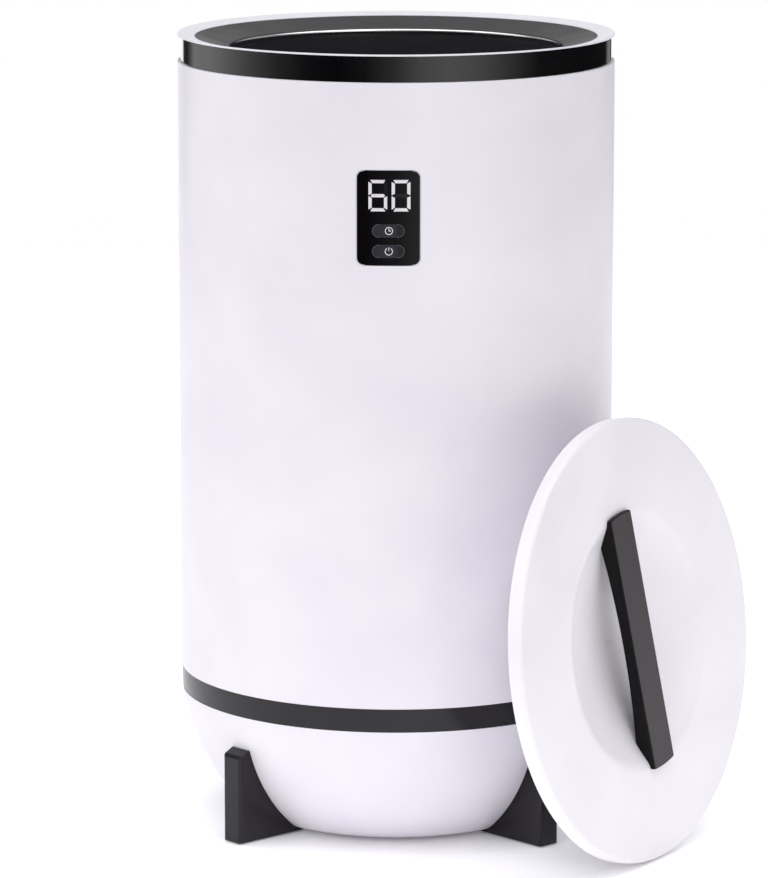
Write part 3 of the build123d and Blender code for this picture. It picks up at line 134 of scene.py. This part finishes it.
for side, (low, high, level) in ROOF.items():
    lift = add(sky, "ShaderNodeMapRange", {"Value": parts["Z"], "From Min": low, "From Max": high})
    walls[side] = add(sky, "ShaderNodeMix", {0: lift.outputs[0]}, data_type="RGBA")
    sky.links.new(ramp.outputs[0], walls[side].inputs[6])
    walls[side].inputs[7].default_value = (level, level, level, 1)
spread = {"Value": parts["Y"], "From Min": BEHIND[0], "From Max": BEHIND[1]}
behind = add(sky, "ShaderNodeMapRange", spread).outputs[0]
overhead = add(sky, "ShaderNodeMix", {0: behind}, data_type="RGBA")
sky.links.new(walls["front"].outputs[2], overhead.inputs[6])
sky.links.new(walls["back"].outputs[2], overhead.inputs[7])
glossy_sky = add(sky, "ShaderNodeBackground", {"Color": overhead.outputs[2], "Strength": SOFTBOX_LIMIT})
matt_sky = add(sky, "ShaderNodeBackground", {"Color": srgb("#FBF9FF"), "Strength": MATT_LEVEL})
seen_sky = add(sky, "ShaderNodeBackground", {"Color": srgb("#FFFFFF"), "Strength": 1.0})
path = add(sky, "ShaderNodeLightPath").outputs
seen_matt, seen_glossy = matt_sky.outputs[0], glossy_sky.outputs[0]
lit = add(sky, "ShaderNodeMixShader", {0: path["Is Glossy Ray"], 1: seen_matt, 2: seen_glossy})
white, rest = seen_sky.outputs[0], lit.outputs[0]
shown = add(sky, "ShaderNodeMixShader", {0: path["Is Camera Ray"], 1: rest, 2: white})
add(sky, "ShaderNodeOutputWorld", {"Surface": shown.outputs[0]})
print("softbox marks:", len(ramp.color_ramp.elements))

# %% Soft lights
LIGHTS = {
    "key": {"at": (-1.45, -2.3, 0.8), "size": 1.6, "watts": 12.7, "aim": (0, 0, 0.25)},
    "fill": {"at": (1.6, -2.3, 0.7), "size": 1.6, "watts": 4.4, "aim": (0.1, 0, 0.2)},
}
for name, light in LIGHTS.items():
    lamp_data = bpy.data.lights.new(name, "AREA")
    lamp_data.size = light["size"]
    lamp_data.energy = light["watts"]
    lamp = bpy.data.objects.new(name, lamp_data)
    lamp.location = light["at"]
    aim = [a - b for a, b in zip(light["aim"], light["at"])]
    lamp.rotation_euler = (atan2(sqrt(aim[0] ** 2 + aim[1] ** 2), -aim[2]), 0, atan2(-aim[0], aim[1]))
    lamp.visible_glossy = False
    bpy.context.collection.objects.link(lamp)
CEILING = {"strength": 1.65, "spread": radians(70)}
ceiling_data = bpy.data.lights.new("ceiling", "SUN")
ceiling_data.energy = CEILING["strength"]
ceiling_data.angle = CEILING["spread"]
ceiling = bpy.data.objects.new("ceiling", ceiling_data)
ceiling.visible_glossy = False
bpy.context.collection.objects.link(ceiling)
print("lights:", sorted(LIGHTS) + ["ceiling"])

# %% Floor
FLOOR = {"left": -1.8, "right": 2.2, "front": -1.0, "back": 2.6}
floor_mesh = bpy.data.meshes.new("floor")
FLOOR_CORNERS = [("left", "front"), ("right", "front"), ("right", "back"), ("left", "back")]
floor_mesh.from_pydata([(FLOOR[x], FLOOR[y], 0) for x, y in FLOOR_CORNERS], [], [(0, 1, 2, 3)])
floor = bpy.data.objects.new("floor", floor_mesh)
bpy.context.collection.objects.link(floor)
print("floor", FLOOR)

# %% [markdown]
# ## Moulded plastics
# Most of what shows is injection-moulded plastic. Its colour is in the material itself, so it
# hardly varies, but no moulding is perfect: the polish of the mould changes a little from place to
# place, and the skin has a fine ripple, called orange peel, that breaks up highlights. One function
# covers these finishes: a faint drift of colour, a drift of roughness, and a fine ripple as bump.


# %% A moulded finish
def shader_of(name):
    """A new material with only its output and the surface shader."""
    material = bpy.data.materials.new(name)
    material.use_nodes = True
    tree = material.node_tree
    tree.nodes.clear()
    shader = add(tree, "ShaderNodeBsdfPrincipled")
    add(tree, "ShaderNodeOutputMaterial", {"Surface": shader.outputs[0]})
    place = add(tree, "ShaderNodeTexCoord").outputs["Object"]
    return material, tree, shader, place


def drift(tree, place, size, low, high, detail=2.0):
    """Noise of a real size in millimetres, spread between two plain numbers."""
    noise = add(tree, "ShaderNodeTexNoise", {"Vector": place, "Scale": 1 / (size * MM), "Detail": detail})
    limits = {"From Min": 0.3, "From Max": 0.7, "To Min": low, "To Max": high}
    return add(tree, "ShaderNodeMapRange", {"Value": noise.outputs["Fac"], **limits}).outputs[0]


def tint(tree, amount, dark, pale):
    """A colour between two screen colours."""
    mix = add(tree, "ShaderNodeMix", {0: amount}, data_type="RGBA")
    mix.inputs[6].default_value = srgb(dark)
    mix.inputs[7].default_value = srgb(pale)
    return mix.outputs[2]


def ripple(tree, place, shader, size, height):
    """Bump from noise of a real size and height, both in millimetres."""
    noise = add(tree, "ShaderNodeTexNoise", {"Vector": place, "Scale": 1 / (size * MM), "Detail": 1.0})
    bump = add(tree, "ShaderNodeBump", {"Height": noise.outputs["Fac"], "Strength": 1.0})
    bump.inputs["Distance"].default_value = height * MM
    tree.links.new(bump.outputs[0], shader.inputs["Normal"])


def moulded(name, dark, pale, gloss, ior, skin, patch=60, metal=0.0, shine=0.5):
    """A plain finish. gloss is the roughness range, skin the ripple's size and height in mm."""
    material, tree, shader, place = shader_of(name)
    colour = tint(tree, drift(tree, place, patch, 0, 1), dark, pale)
    tree.links.new(colour, shader.inputs["Base Color"])
    tree.links.new(drift(tree, place, patch / 3, *gloss), shader.inputs["Roughness"])
    if not metal:
        shader.inputs["IOR"].default_value = ior
    shader.inputs["Metallic"].default_value = metal
    shader.inputs["Specular IOR Level"].default_value = shine
    ripple(tree, place, shader, *skin)
    return material


FINISHES = {}
print("a finish is a material with drifting colour, drifting roughness and a ripple")

# %% [markdown]
# ## White shell
# The shell, bowl, rim and lid are white ABS, moulded in a mould with a satin polish. ABS has an
# index of about 1.54. The satin polish gives a soft sheen with no clear mirror image, and the white
# pigment is very slightly blue, which keeps the plastic from looking yellow as it ages. The lid's
# copy of it is painted paler than the body's, as painted light on its face, and its plug is
# polypropylene.

# %% White ABS
FINISHES["white_abs"] = moulded("satin_white_abs", "#E9E6ED", "#EEECF1", (0.34, 0.42), 1.54, (1.6, 0.004))
# painted light: the lid's white ABS is a paler copy of the body's
FINISHES["lid_abs_painted_paler"] = moulded("satin_white_abs_painted_paler", "#F1EEF3", "#F6F4F7", (0.34, 0.42), 1.54, (1.6, 0.004))
FINISHES["white_liner"] = moulded(
    "white_polypropylene", "#E6E4EC", "#ECEAF1", (0.42, 0.5), 1.49, (1.2, 0.006)
)
print(sorted(FINISHES))

# %% [markdown]
# ## Black trims
# The upper band is black ABS from a mirror-polished mould, so its highlights are sharp. The lower
# band is the same plastic from a duller mould. The collar inside the rim has a satin skin made by
# spark erosion, whose pits of about 0.2 mm spread the light into a grey sheen. The handle's bar is
# a deep black whose fine skin reflects little, and the legs are very dark ABS with a light polish.

# %% Black and dark plastics
FINISHES["gloss_black_abs"] = moulded(
    "polished_black_abs", "#060507", "#0A080B", (0.05, 0.09), 1.54, (2.5, 0.002)
)
FINISHES["satin_black_abs"] = moulded(
    "dull_black_abs", "#120F12", "#181518", (0.2, 0.26), 1.54, (1.5, 0.003), shine=0.35
)
FINISHES["collar_abs"] = moulded(
    "spark_eroded_black_abs", "#201E21", "#262427", (0.3, 0.38), 1.54, (0.4, 0.006)
)
FINISHES["leg_abs"] = moulded(
    "dark_grey_abs", "#0B060B", "#0F090F", (0.14, 0.2), 1.54, (0.9, 0.002), shine=0.32
)
FINISHES["handle_abs"] = moulded(
    "black_handle_abs", "#080708", "#0B0A0B", (0.3, 0.4), 1.54, (0.35, 0.003), 25, shine=0.12
)
print(sorted(FINISHES))

# %% [markdown]
# ## Pot
# The pot is drawn aluminium with a black non-stick coat. The coat is sprayed and baked, so it is
# glossy, but it shows sprayed droplets of about half a millimetre and carries a few paler specks.


# %% Non-stick coat
def non_stick():
    material, tree, shader, place = shader_of("baked_non_stick_coat")
    specks = add(tree, "ShaderNodeTexVoronoi", {"Vector": place, "Scale": 1 / (5 * MM)})
    limits = {"From Min": 0.06, "From Max": 0.1, "To Min": 1, "To Max": 0}
    fleck = add(tree, "ShaderNodeMapRange", {"Value": specks.outputs["Distance"], **limits})
    tree.links.new(tint(tree, fleck.outputs[0], "#363437", "#504E51"), shader.inputs["Base Color"])
    tree.links.new(drift(tree, place, 8, 0.12, 0.2), shader.inputs["Roughness"])
    shader.inputs["IOR"].default_value = 1.5
    ripple(tree, place, shader, 0.9, 0.006)
    return material


FINISHES["non_stick"] = non_stick()
print("non-stick coat ready")

# %% [markdown]
# ## Display
# The front is black acrylic, polished on its face, with an index of 1.49. The strokes of the digits
# are milky light guides lit from behind. The keys are dark grey acrylic; their colour is darker
# towards the right, where it fades into the black. The symbols are
# screen-printed in white ink, which is slightly raised and matt.


# %% Acrylic, light guides and ink
def glowing(name, code, strength):
    material, tree, shader, place = shader_of(name)
    glow = tint(tree, drift(tree, place, 6, 0, 1), "#D6D3D7", code)
    tree.links.new(glow, shader.inputs["Base Color"])
    tree.links.new(glow, shader.inputs["Emission Color"])
    shader.inputs["Emission Strength"].default_value = strength
    tree.links.new(drift(tree, place, 4, 0.3, 0.4), shader.inputs["Roughness"])
    ripple(tree, place, shader, 0.5, 0.002)
    return material


def fading_key():
    material, tree, shader, place = shader_of("grey_acrylic_darker_right")
    across = add(tree, "ShaderNodeSeparateXYZ", {"Vector": place}).outputs["X"]
    # the key's colour grades darker towards the right
    limits = {"From Min": 3.4 * MM, "From Max": 7.0 * MM}
    fade = add(tree, "ShaderNodeMapRange", {"Value": across, **limits}).outputs[0]
    tree.links.new(tint(tree, fade, "#2C2B33", "#0A080C"), shader.inputs["Base Color"])
    tree.links.new(drift(tree, place, 3, 0.12, 0.18), shader.inputs["Roughness"])
    shader.inputs["IOR"].default_value = 1.49
    ripple(tree, place, shader, 0.6, 0.001)
    return material


FINISHES["acrylic"] = moulded(
    "polished_black_acrylic", "#050306", "#080609", (0.03, 0.06), 1.49, (4, 0.001), 20, shine=0.22
)
FINISHES["lit_guide"] = glowing("lit_milky_acrylic", "#DFDCDF", 0.1)
FINISHES["dark_guide"] = moulded(
    "unlit_smoked_acrylic", "#070508", "#0B090D", (0.05, 0.08), 1.49, (2, 0.001), 20
)
FINISHES["key"] = fading_key()
FINISHES["ink"] = moulded("white_screen_ink", "#EEECEF", "#F7F6F8", (0.4, 0.5), 1.5, (0.2, 0.002), 4)
# painted highlights: pale strokes drawn on the keys' rims and the panel's cut edge
FINISHES["key_rim_painted_highlight"] = moulded(
    "painted_key_outline_highlight", "#5A5A64", "#6E6E78", (0.15, 0.25), 1.49, (0.5, 0.001), 9
)
FINISHES["edge_highlight_paint"] = moulded(
    "painted_lens_edge_highlight", "#DDDCE4", "#F2F1F6", (0.2, 0.3), 1.49, (0.5, 0.002), 15
)
print("display finishes ready")

# %% [markdown]
# ## Small and hidden parts
# Feet and seal are moulded rubber, matt and slightly dusty. Screws are zinc-plated steel: bright,
# a little yellow, with a brushed look from the tumbling that polishes them. The heater mat is
# orange-red silicone, the heat shield rolled aluminium, the insulation needled felt, and the boards
# are green glass-fibre laminate, whose weave of about 0.5 mm shows through the lacquer.


# %% Woven laminate and felt
def crossed(name, dark, pale, pitch, gloss, height):
    """Two sets of threads that cross: a laminate's weave or a winding."""
    material, tree, shader, place = shader_of(name)
    scale = 1 / (pitch * MM)
    warp = add(tree, "ShaderNodeTexWave", {"Vector": place, "Scale": scale / 2}, bands_direction="X")
    weft = add(tree, "ShaderNodeTexWave", {"Vector": place, "Scale": scale / 2}, bands_direction="Y")
    crossing = {0: warp.outputs["Fac"], 1: weft.outputs["Fac"]}
    threads = add(tree, "ShaderNodeMath", crossing, operation="MULTIPLY")
    tree.links.new(tint(tree, threads.outputs[0], dark, pale), shader.inputs["Base Color"])
    tree.links.new(drift(tree, place, 10, *gloss), shader.inputs["Roughness"])
    bump = add(tree, "ShaderNodeBump", {"Height": threads.outputs[0], "Strength": 1.0})
    bump.inputs["Distance"].default_value = height * MM
    tree.links.new(bump.outputs[0], shader.inputs["Normal"])
    return material


FINISHES["rubber"] = moulded("moulded_rubber", "#141314", "#242224", (0.6, 0.75), 1.52, (0.5, 0.01), 8)
FINISHES["seal"] = moulded("grey_silicone_seal", "#9C9CA2", "#AEAEB4", (0.5, 0.6), 1.41, (0.4, 0.005), 12)
FINISHES["zinc"] = moulded(
    "zinc_plated_steel", "#B9B7AE", "#CFCDC6", (0.25, 0.4), 0, (0.15, 0.004), 3, 1.0
)
FINISHES["silicone_mat"] = moulded(
    "orange_silicone_mat", "#8E2A12", "#A33517", (0.5, 0.65), 1.41, (0.8, 0.02), 15
)
FINISHES["sheet"] = moulded(
    "rolled_aluminium", "#C9CBCE", "#DFE0E2", (0.25, 0.38), 0, (0.3, 0.003), 12, 1.0
)
FINISHES["felt"] = moulded("needled_felt", "#CFCBC0", "#E8E5DC", (0.85, 0.95), 1.45, (0.7, 0.25), 4)
FINISHES["foam"] = moulded("polyurethane_foam", "#DDD3B4", "#EEE7CF", (0.8, 0.9), 1.45, (0.9, 0.15), 5)
FINISHES["nylon"] = moulded("black_nylon", "#161517", "#201F21", (0.4, 0.5), 1.53, (0.5, 0.005), 8)
FINISHES["steatite"] = moulded("cream_steatite", "#D6CDB8", "#E4DDCB", (0.45, 0.55), 1.6, (0.3, 0.004), 6)
FINISHES["green_plastic"] = moulded(
    "green_polyamide", "#1F6B3A", "#287A45", (0.4, 0.5), 1.53, (0.5, 0.005), 8
)
FINISHES["wire"] = moulded(
    "grey_silicone_wire", "#B4B4AE", "#C8C8C2", (0.45, 0.55), 1.41, (0.6, 0.004), 10
)
FINISHES["laminate"] = crossed("green_glass_laminate", "#0E4423", "#1B5E33", 0.5, (0.25, 0.35), 0.01)
FINISHES["core"] = crossed("varnished_steel_laminations", "#3A3524", "#6B6346", 0.7, (0.3, 0.45), 0.05)
print(len(FINISHES), "finishes")

# %% Give every solid its finish
WEARS = {
    "white_abs": ["outer_shell", "base_bowl", "rim_ring"],
    "lid_abs_painted_paler": ["lid_cover"],
    "white_liner": ["lid_liner"],
    "gloss_black_abs": ["upper_trim_band"],
    "satin_black_abs": ["lower_trim_band"],
    "collar_abs": ["pot_collar"],
    "leg_abs": ["leg_front_left", "leg_front_right", "leg_rear_right", "leg_rear_left"],
    "handle_abs": ["lid_handle"],
    "non_stick": ["inner_pot"],
    "acrylic": ["panel_lens"],
    "lit_guide": ["lit_digits"],
    "dark_guide": ["unlit_digits"],
    "key": ["timer_button", "power_button"],
    "rubber": ["foot_pads"],
    "seal": ["lid_gasket"],
    "zinc": [
        "pot_screws", "shield_screws", "leg_screws", "main_board_screws", "panel_screws",
        "display_screws", "handle_screws", "lid_screws",
    ],
    "silicone_mat": ["side_heater"],
    "sheet": ["base_heater", "heat_shield"],
    "felt": ["insulation_jacket", "base_insulation"],
    "foam": ["lid_foam"],
    "nylon": [
        "cord_gland", "gland_nut", "panel_housing", "timer_switch", "power_switch", "buzzer",
        "display_module", "relay", "capacitor", "thermostat", "thermal_fuse",
    ],
    "steatite": ["pot_spacers", "timer_plunger", "power_plunger"],
    "green_plastic": ["terminal_block", "board_header", "fuse_holder"],
    "wire": ["heater_leads", "display_harness"],
    "laminate": ["main_board", "display_board"],
    "core": ["transformer"],
}
dressed = {}
for finish, names in WEARS.items():
    for name in names:
        for slot in frame["nodes"][name].material_slots:
            slot.material = FINISHES[finish]
        dressed[name] = finish
print("solids with a finish:", len(dressed), "left out:", sorted(set(frame["nodes"]) - set(dressed)))

# %% [markdown]
# ## Floor
# The floor is a light table: a sheet of opal acrylic with lamps below it. Its glow melts it into
# the background, keeps the shade under the part faint, and lights the bowl from below. Its top is
# sanded, which makes it matt, and the lamps leave faint clouds a few centimetres across. The glow
# is painted darker below the bucket and the lid, as a painted contact shadow, and it grows with
# the distance from the nearer of the two.

# %% Light table
FINISHES["table"] = moulded(
    "sanded_opal_acrylic", "#F6F5F8", "#FAF9FC", (0.7, 0.8), 1.49, (0.9, 0.02), 40
)
table = FINISHES["table"].node_tree.nodes["Principled BSDF"]
table.inputs["Emission Color"].default_value = srgb("#FFFFFF")


def glow_with_painted_shadow(tree, centres, near, far, span):
    """Emission that grows from near at the edge of round painted shadows to far, over span metres.

    Each centre is the x, y and radius of a round painted shadow, in metres.
    """
    place = add(tree, "ShaderNodeTexCoord").outputs["Object"]
    nearest = None
    for x, y, radius in centres:
        offset = add(tree, "ShaderNodeVectorMath", {0: place, 1: (x, y, 0)}, operation="SUBTRACT")
        reach = add(tree, "ShaderNodeVectorMath", {0: offset.outputs[0]}, operation="LENGTH")
        distance = {0: reach.outputs["Value"], 1: radius}
        beyond = add(tree, "ShaderNodeMath", distance, operation="SUBTRACT").outputs[0]
        if nearest is None:
            nearest = beyond
        else:
            pair = {0: nearest, 1: beyond}
            nearest = add(tree, "ShaderNodeMath", pair, operation="MINIMUM").outputs[0]
    limits = {"From Min": 0.0, "From Max": span, "To Min": near, "To Max": far}
    rise = add(tree, "ShaderNodeMapRange", {"Value": nearest, **limits}, interpolation_type="SMOOTHSTEP")
    return rise.outputs[0]


# painted contact shadow: the floor's glow is dimmed near the bucket and the lid
PAINTED_SHADOW_SPOTS = [(0, 0, 0.085), (0.158, -0.13, 0.0)]
GLOW_AND_PAINTED_SHADOW = {"near": 0.05, "far": 0.28, "span": 0.08}
table_tree = FINISHES["table"].node_tree
glow = glow_with_painted_shadow(table_tree, PAINTED_SHADOW_SPOTS, **GLOW_AND_PAINTED_SHADOW)
table_tree.links.new(glow, table.inputs["Emission Strength"])
floor_mesh.materials.append(FINISHES["table"])
print("floor wears", FINISHES["table"].name)

# %% [markdown]
# ## Fine lines on the display
# The light on the acrylic's cut edge is painted as a thin bright line all round the panel, and
# the keys' rims carry pale painted highlights. The keys also carry printed signs. All of them
# are strokes a fraction of a millimetre wide that follow the body's round front, so one function
# sweeps a flat ribbon along a path drawn on that cylinder. The ribbon is a closed solid: its back
# lies just inside the surface below it.


# %% Strokes on a round front
RIBBON_DEPTH = 0.06
END_STEPS = 5


def piece_of(name, mesh):
    """An object in the scene with the finished mesh."""
    data = bpy.data.meshes.new(name)
    mesh.to_mesh(data)
    mesh.free()
    piece = bpy.data.objects.new(name, data)
    bpy.context.collection.objects.link(piece)
    return piece


def around_corners(half_width, half_height, corner, steps=8):
    """A closed path round a rectangle with rounded corners, from its bottom right corner."""
    path = []
    for quarter in range(4):
        side = half_width if quarter in (0, 3) else -half_width
        level = half_height if quarter in (0, 1) else -half_height
        for step in range(steps + 1):
            turned = pi / 2 * (quarter + step / steps)
            x = side - corner * (1 if side > 0 else -1) + corner * cos(turned)
            z = level - corner * (1 if level > 0 else -1) + corner * sin(turned)
            path.append((x, z))
    return path


def arc(radius, first, last, steps=40):
    """Points of an arc, in degrees from the right, turning towards the top."""
    angles = [radians(first + (last - first) * step / steps) for step in range(steps + 1)]
    return [(radius * cos(angle), radius * sin(angle)) for angle in angles]


def with_round_ends(path, width):
    """Adds points beyond both ends of an open path, where the stroke narrows to a round tip."""
    def tip(end, inner):
        length = sqrt((end[0] - inner[0]) ** 2 + (end[1] - inner[1]) ** 2)
        ahead = [(end[0] - inner[0]) / length, (end[1] - inner[1]) / length]
        angles = [pi / 2 * (step + 0.6) / END_STEPS for step in range(END_STEPS)]
        reach = [width / 2 * sin(angle) for angle in angles]
        points = [(end[0] + ahead[0] * r, end[1] + ahead[1] * r) for r in reach]
        return points, [width * cos(angle) for angle in angles]
    first, first_widths = tip(path[0], path[1])
    last, last_widths = tip(path[-1], path[-2])
    widths = first_widths[::-1] + [width] * len(path) + last_widths
    return first[::-1] + list(path) + last, widths


def ribbon(name, path, width, face, centre=(0, 0), closed=True):
    """A thin solid along a path in millimetres. face is its front's distance from the body's axis."""
    widths = [width] * len(path)
    if not closed:
        path, widths = with_round_ends(path, width)
    count = len(path)
    mesh = bmesh.new()
    rows = []
    for place, (x, z) in enumerate(path):
        before = path[place - 1] if closed or place else path[0]
        after = path[(place + 1) % count] if closed or place < count - 1 else path[-1]
        run = (after[0] - before[0], after[1] - before[1])
        length = sqrt(run[0] ** 2 + run[1] ** 2)
        side = (-run[1] / length * widths[place] / 2, run[0] / length * widths[place] / 2)
        row = []
        for way, radius in ((1, face), (-1, face), (-1, face - RIBBON_DEPTH), (1, face - RIBBON_DEPTH)):
            across = centre[0] + x + side[0] * way
            height = centre[1] + z + side[1] * way
            row.append(mesh.verts.new((across * MM, -sqrt(radius ** 2 - across ** 2) * MM, height * MM)))
        rows.append(row)
    for place in range(count if closed else count - 1):
        here, there = rows[place], rows[(place + 1) % count]
        for corner in range(4):
            following = (corner + 1) % 4
            mesh.faces.new((here[corner], there[corner], there[following], here[following]))
    if not closed:
        mesh.faces.new(rows[0])
        mesh.faces.new(rows[-1][::-1])
    bmesh.ops.recalc_face_normals(mesh, faces=mesh.faces)
    return piece_of(name, mesh)


def finish_piece(piece, finish, body):
    piece.data.materials.append(FINISHES[finish])
    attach(piece, body)


print("ribbon", RIBBON_DEPTH, "mm deep")

# %% Painted highlights on the panel's edge and the keys' rims
PANEL = {"face": 144.75, "centre": 423.5, "line": 0.4}
PANEL.update({"half_width": 20.4, "half_height": 30.4, "corner": 4.6})
KEY_HEIGHTS = {"timer_key": 415.3, "power_key": 402.1}
KEY = {"face": 145.13, "half_width": 10.2, "half_height": 4.0, "corner": 3.9, "rim": 0.22}
edge_path = around_corners(PANEL["half_width"], PANEL["half_height"], PANEL["corner"])
edge = ribbon("panel_outline_highlight", edge_path, PANEL["line"], PANEL["face"], (0, PANEL["centre"]))
finish_piece(edge, "edge_highlight_paint", "bucket")
for body, height in KEY_HEIGHTS.items():
    rim_path = around_corners(KEY["half_width"], KEY["half_height"], KEY["corner"])
    rim = ribbon(body + "_rim", rim_path, KEY["rim"], KEY["face"], (0, height))
    finish_piece(rim, "key_rim_painted_highlight", body)
print("edge points:", len(edge_path), "rims:", len(KEY_HEIGHTS))

# %% [markdown]
# ## The handle's face
# The top face of the handle is drawn lighter than its black sides, as a painted sheen: a thin grey
# solid set on the black bar. It is built on the bar's own flat face: the face's corners are read
# from the model and put in order round it. The grey carries long fine scratches, as brushing leaves,
# so the finish is noise that is stretched a hundred times along the bar.


# %% Plate of painted sheen
SCRATCH = {"width": 0.35, "depth": 0.003, "stretch": 100}
SHEEN_PLATE = {"proud": 0.05, "sunk": 0.03, "inset": 0.7}
FLAT = 0.01


def streaked_sheen(name, dark, pale, gloss):
    """Grey of a painted sheen, with scratches of a real width in millimetres, along its own Y."""
    material, tree, shader, place = shader_of(name)
    squeeze = (1, 1 / SCRATCH["stretch"], 1)
    stretch = add(tree, "ShaderNodeMapping", {"Vector": place, "Scale": squeeze}).outputs[0]
    lines = drift(tree, stretch, SCRATCH["width"], 0, 1, 3.0)
    tree.links.new(tint(tree, lines, dark, pale), shader.inputs["Base Color"])
    tree.links.new(drift(tree, stretch, 2 * SCRATCH["width"], *gloss), shader.inputs["Roughness"])
    shader.inputs["Metallic"].default_value = 0.3
    bump = add(tree, "ShaderNodeBump", {"Height": lines, "Strength": 1.0})
    bump.inputs["Distance"].default_value = SCRATCH["depth"] * MM
    tree.links.new(bump.outputs[0], shader.inputs["Normal"])
    return material


def plate_on(name, node, ahead, proud, sunk, inset):
    """A thin solid on a node's foremost flat face, inset from its long edges.

    It reaches from sunk below the face to proud above it, in millimetres.
    """
    corners = [node.matrix_world @ vertex.co for vertex in node.data.vertices]
    front = max(corner.dot(ahead) for corner in corners)
    face = [corner for corner in corners if front - corner.dot(ahead) < FLAT * MM]
    centre = sum(face, Vector()) / len(face)
    long_way = (max(face, key=lambda corner: (corner - centre).length) - centre).normalized()
    short_way = long_way.cross(ahead)
    flat = {}
    width = max(abs((corner - centre).dot(short_way)) for corner in face)
    shrink = 1 - inset * MM / width
    for corner in face:
        x, y = (corner - centre).dot(short_way) * shrink, (corner - centre).dot(long_way)
        flat[round(x / MM, 2), round(y / MM, 2)] = (x, y)
    outline = sorted(flat.values(), key=lambda point: atan2(point[1], point[0]))
    mesh = bmesh.new()
    low = [mesh.verts.new((x, y, -sunk * MM)) for x, y in outline]
    high = [mesh.verts.new((x, y, proud * MM)) for x, y in outline]
    mesh.faces.new(low[::-1])
    mesh.faces.new(high)
    for place in range(len(outline)):
        after = (place + 1) % len(outline)
        mesh.faces.new((low[place], low[after], high[after], high[place]))
    piece = piece_of(name, mesh)
    turned = Matrix((short_way, long_way, ahead)).transposed().to_4x4()
    piece.matrix_world = Matrix.Translation(centre) @ turned
    return piece


axes = {joint["name"]: Vector(joint["axis"]) for joint in frame["joints"]}
# painted sheen: the handle's top face is drawn lighter grey than its black sides
FINISHES["painted_sheen_plate"] = streaked_sheen("painted_sheen_streaked_grey", "#332E31", "#423D40", (0.4, 0.5))
sheen_plate = plate_on("handle_painted_sheen", frame["nodes"]["lid_handle"], axes["lid_lift"].normalized(), **SHEEN_PLATE)
finish_piece(sheen_plate, "painted_sheen_plate", "lid")
print("plate corners:", len(sheen_plate.data.vertices) // 2)

# %% [markdown]
# ## The pot's bright edge
# Where the pot's wall meets the collar, its rolled edge is bare polished aluminium. It is a narrow
# ring round the inside of the collar's mouth. The pot sits a little towards the front, so the ring
# shows as a crescent at the far side, where it mirrors the bright room over the viewer.


# %% Rolled edge
MOUTH = {"radius": 111.4, "forward": 1.3, "top": 518.7, "height": 2.6, "thick": 0.6, "back": 0.03}
MOUTH_SIDES = 192
MOUTH_STEPS = 10


def rolled_edge(name, mouth):
    """A ring with a rounded inner face, standing against the inside of the mouth."""
    half = mouth["height"] / 2
    outer = mouth["radius"] + mouth["back"]
    profile = [(outer, mouth["top"]), (outer, mouth["top"] - mouth["height"])]
    for step in range(MOUTH_STEPS + 1):
        turn_to = -pi / 2 + pi * step / MOUTH_STEPS
        inward = mouth["radius"] - mouth["thick"] * cos(turn_to)
        profile.append((inward, mouth["top"] - half + half * sin(turn_to)))
    mesh = bmesh.new()
    rows = []
    for side in range(MOUTH_SIDES):
        angle = 2 * pi * side / MOUTH_SIDES
        circle = [(r * cos(angle), r * sin(angle) - mouth["forward"], z) for r, z in profile]
        rows.append([mesh.verts.new((x * MM, y * MM, z * MM)) for x, y, z in circle])
    for side, row in enumerate(rows):
        after = rows[(side + 1) % len(rows)]
        for corner in range(len(profile)):
            beyond = (corner + 1) % len(profile)
            mesh.faces.new((row[corner], after[corner], after[beyond], row[beyond]))
    bmesh.ops.recalc_face_normals(mesh, faces=mesh.faces)
    return piece_of(name, mesh)


FINISHES["bright_edge"] = moulded(
    "polished_bare_aluminium", "#D9DADD", "#ECECEE", (0.12, 0.2), 0, (0.6, 0.001), 20, 1.0
)
finish_piece(rolled_edge("pot_rolled_edge", MOUTH), "bright_edge", "bucket")
print("rolled edge under the collar at", MOUTH["top"])

# %% [markdown]
# ## Signs on the keys
# The timer key carries a clock, a ring with two hands. The power key carries the usual sign for
# power, an open ring with a bar. Both are common signs, printed in white.

# %% Clock and power sign
SIGN = {"face": 145.14, "radius": 2.3, "line": 0.42, "clock_at": 0.4, "power_at": 0.35}
clock_centre = (SIGN["clock_at"], KEY_HEIGHTS["timer_key"])
power_centre = (SIGN["power_at"], KEY_HEIGHTS["power_key"])
STROKES = [
    ("clock_ring", "timer_key", clock_centre, arc(SIGN["radius"], 0, 360)[:-1], True),
    ("clock_long_hand", "timer_key", clock_centre, [(0, 0), (0, 1.5)], False),
    ("clock_short_hand", "timer_key", clock_centre, [(0.1, 0), (1.1, 0)], False),
    ("power_ring", "power_key", power_centre, arc(SIGN["radius"], 125, 415), False),
    ("power_bar", "power_key", power_centre, [(0, 0.6), (0, 2.5)], False),
]
for name, body, centre, path, closed in STROKES:
    finish_piece(ribbon(name, path, SIGN["line"], SIGN["face"], centre, closed), "ink", body)
print("strokes:", [stroke[0] for stroke in STROKES])

# %% [markdown]
# ## Close

# %% Finish
print("scene finished")
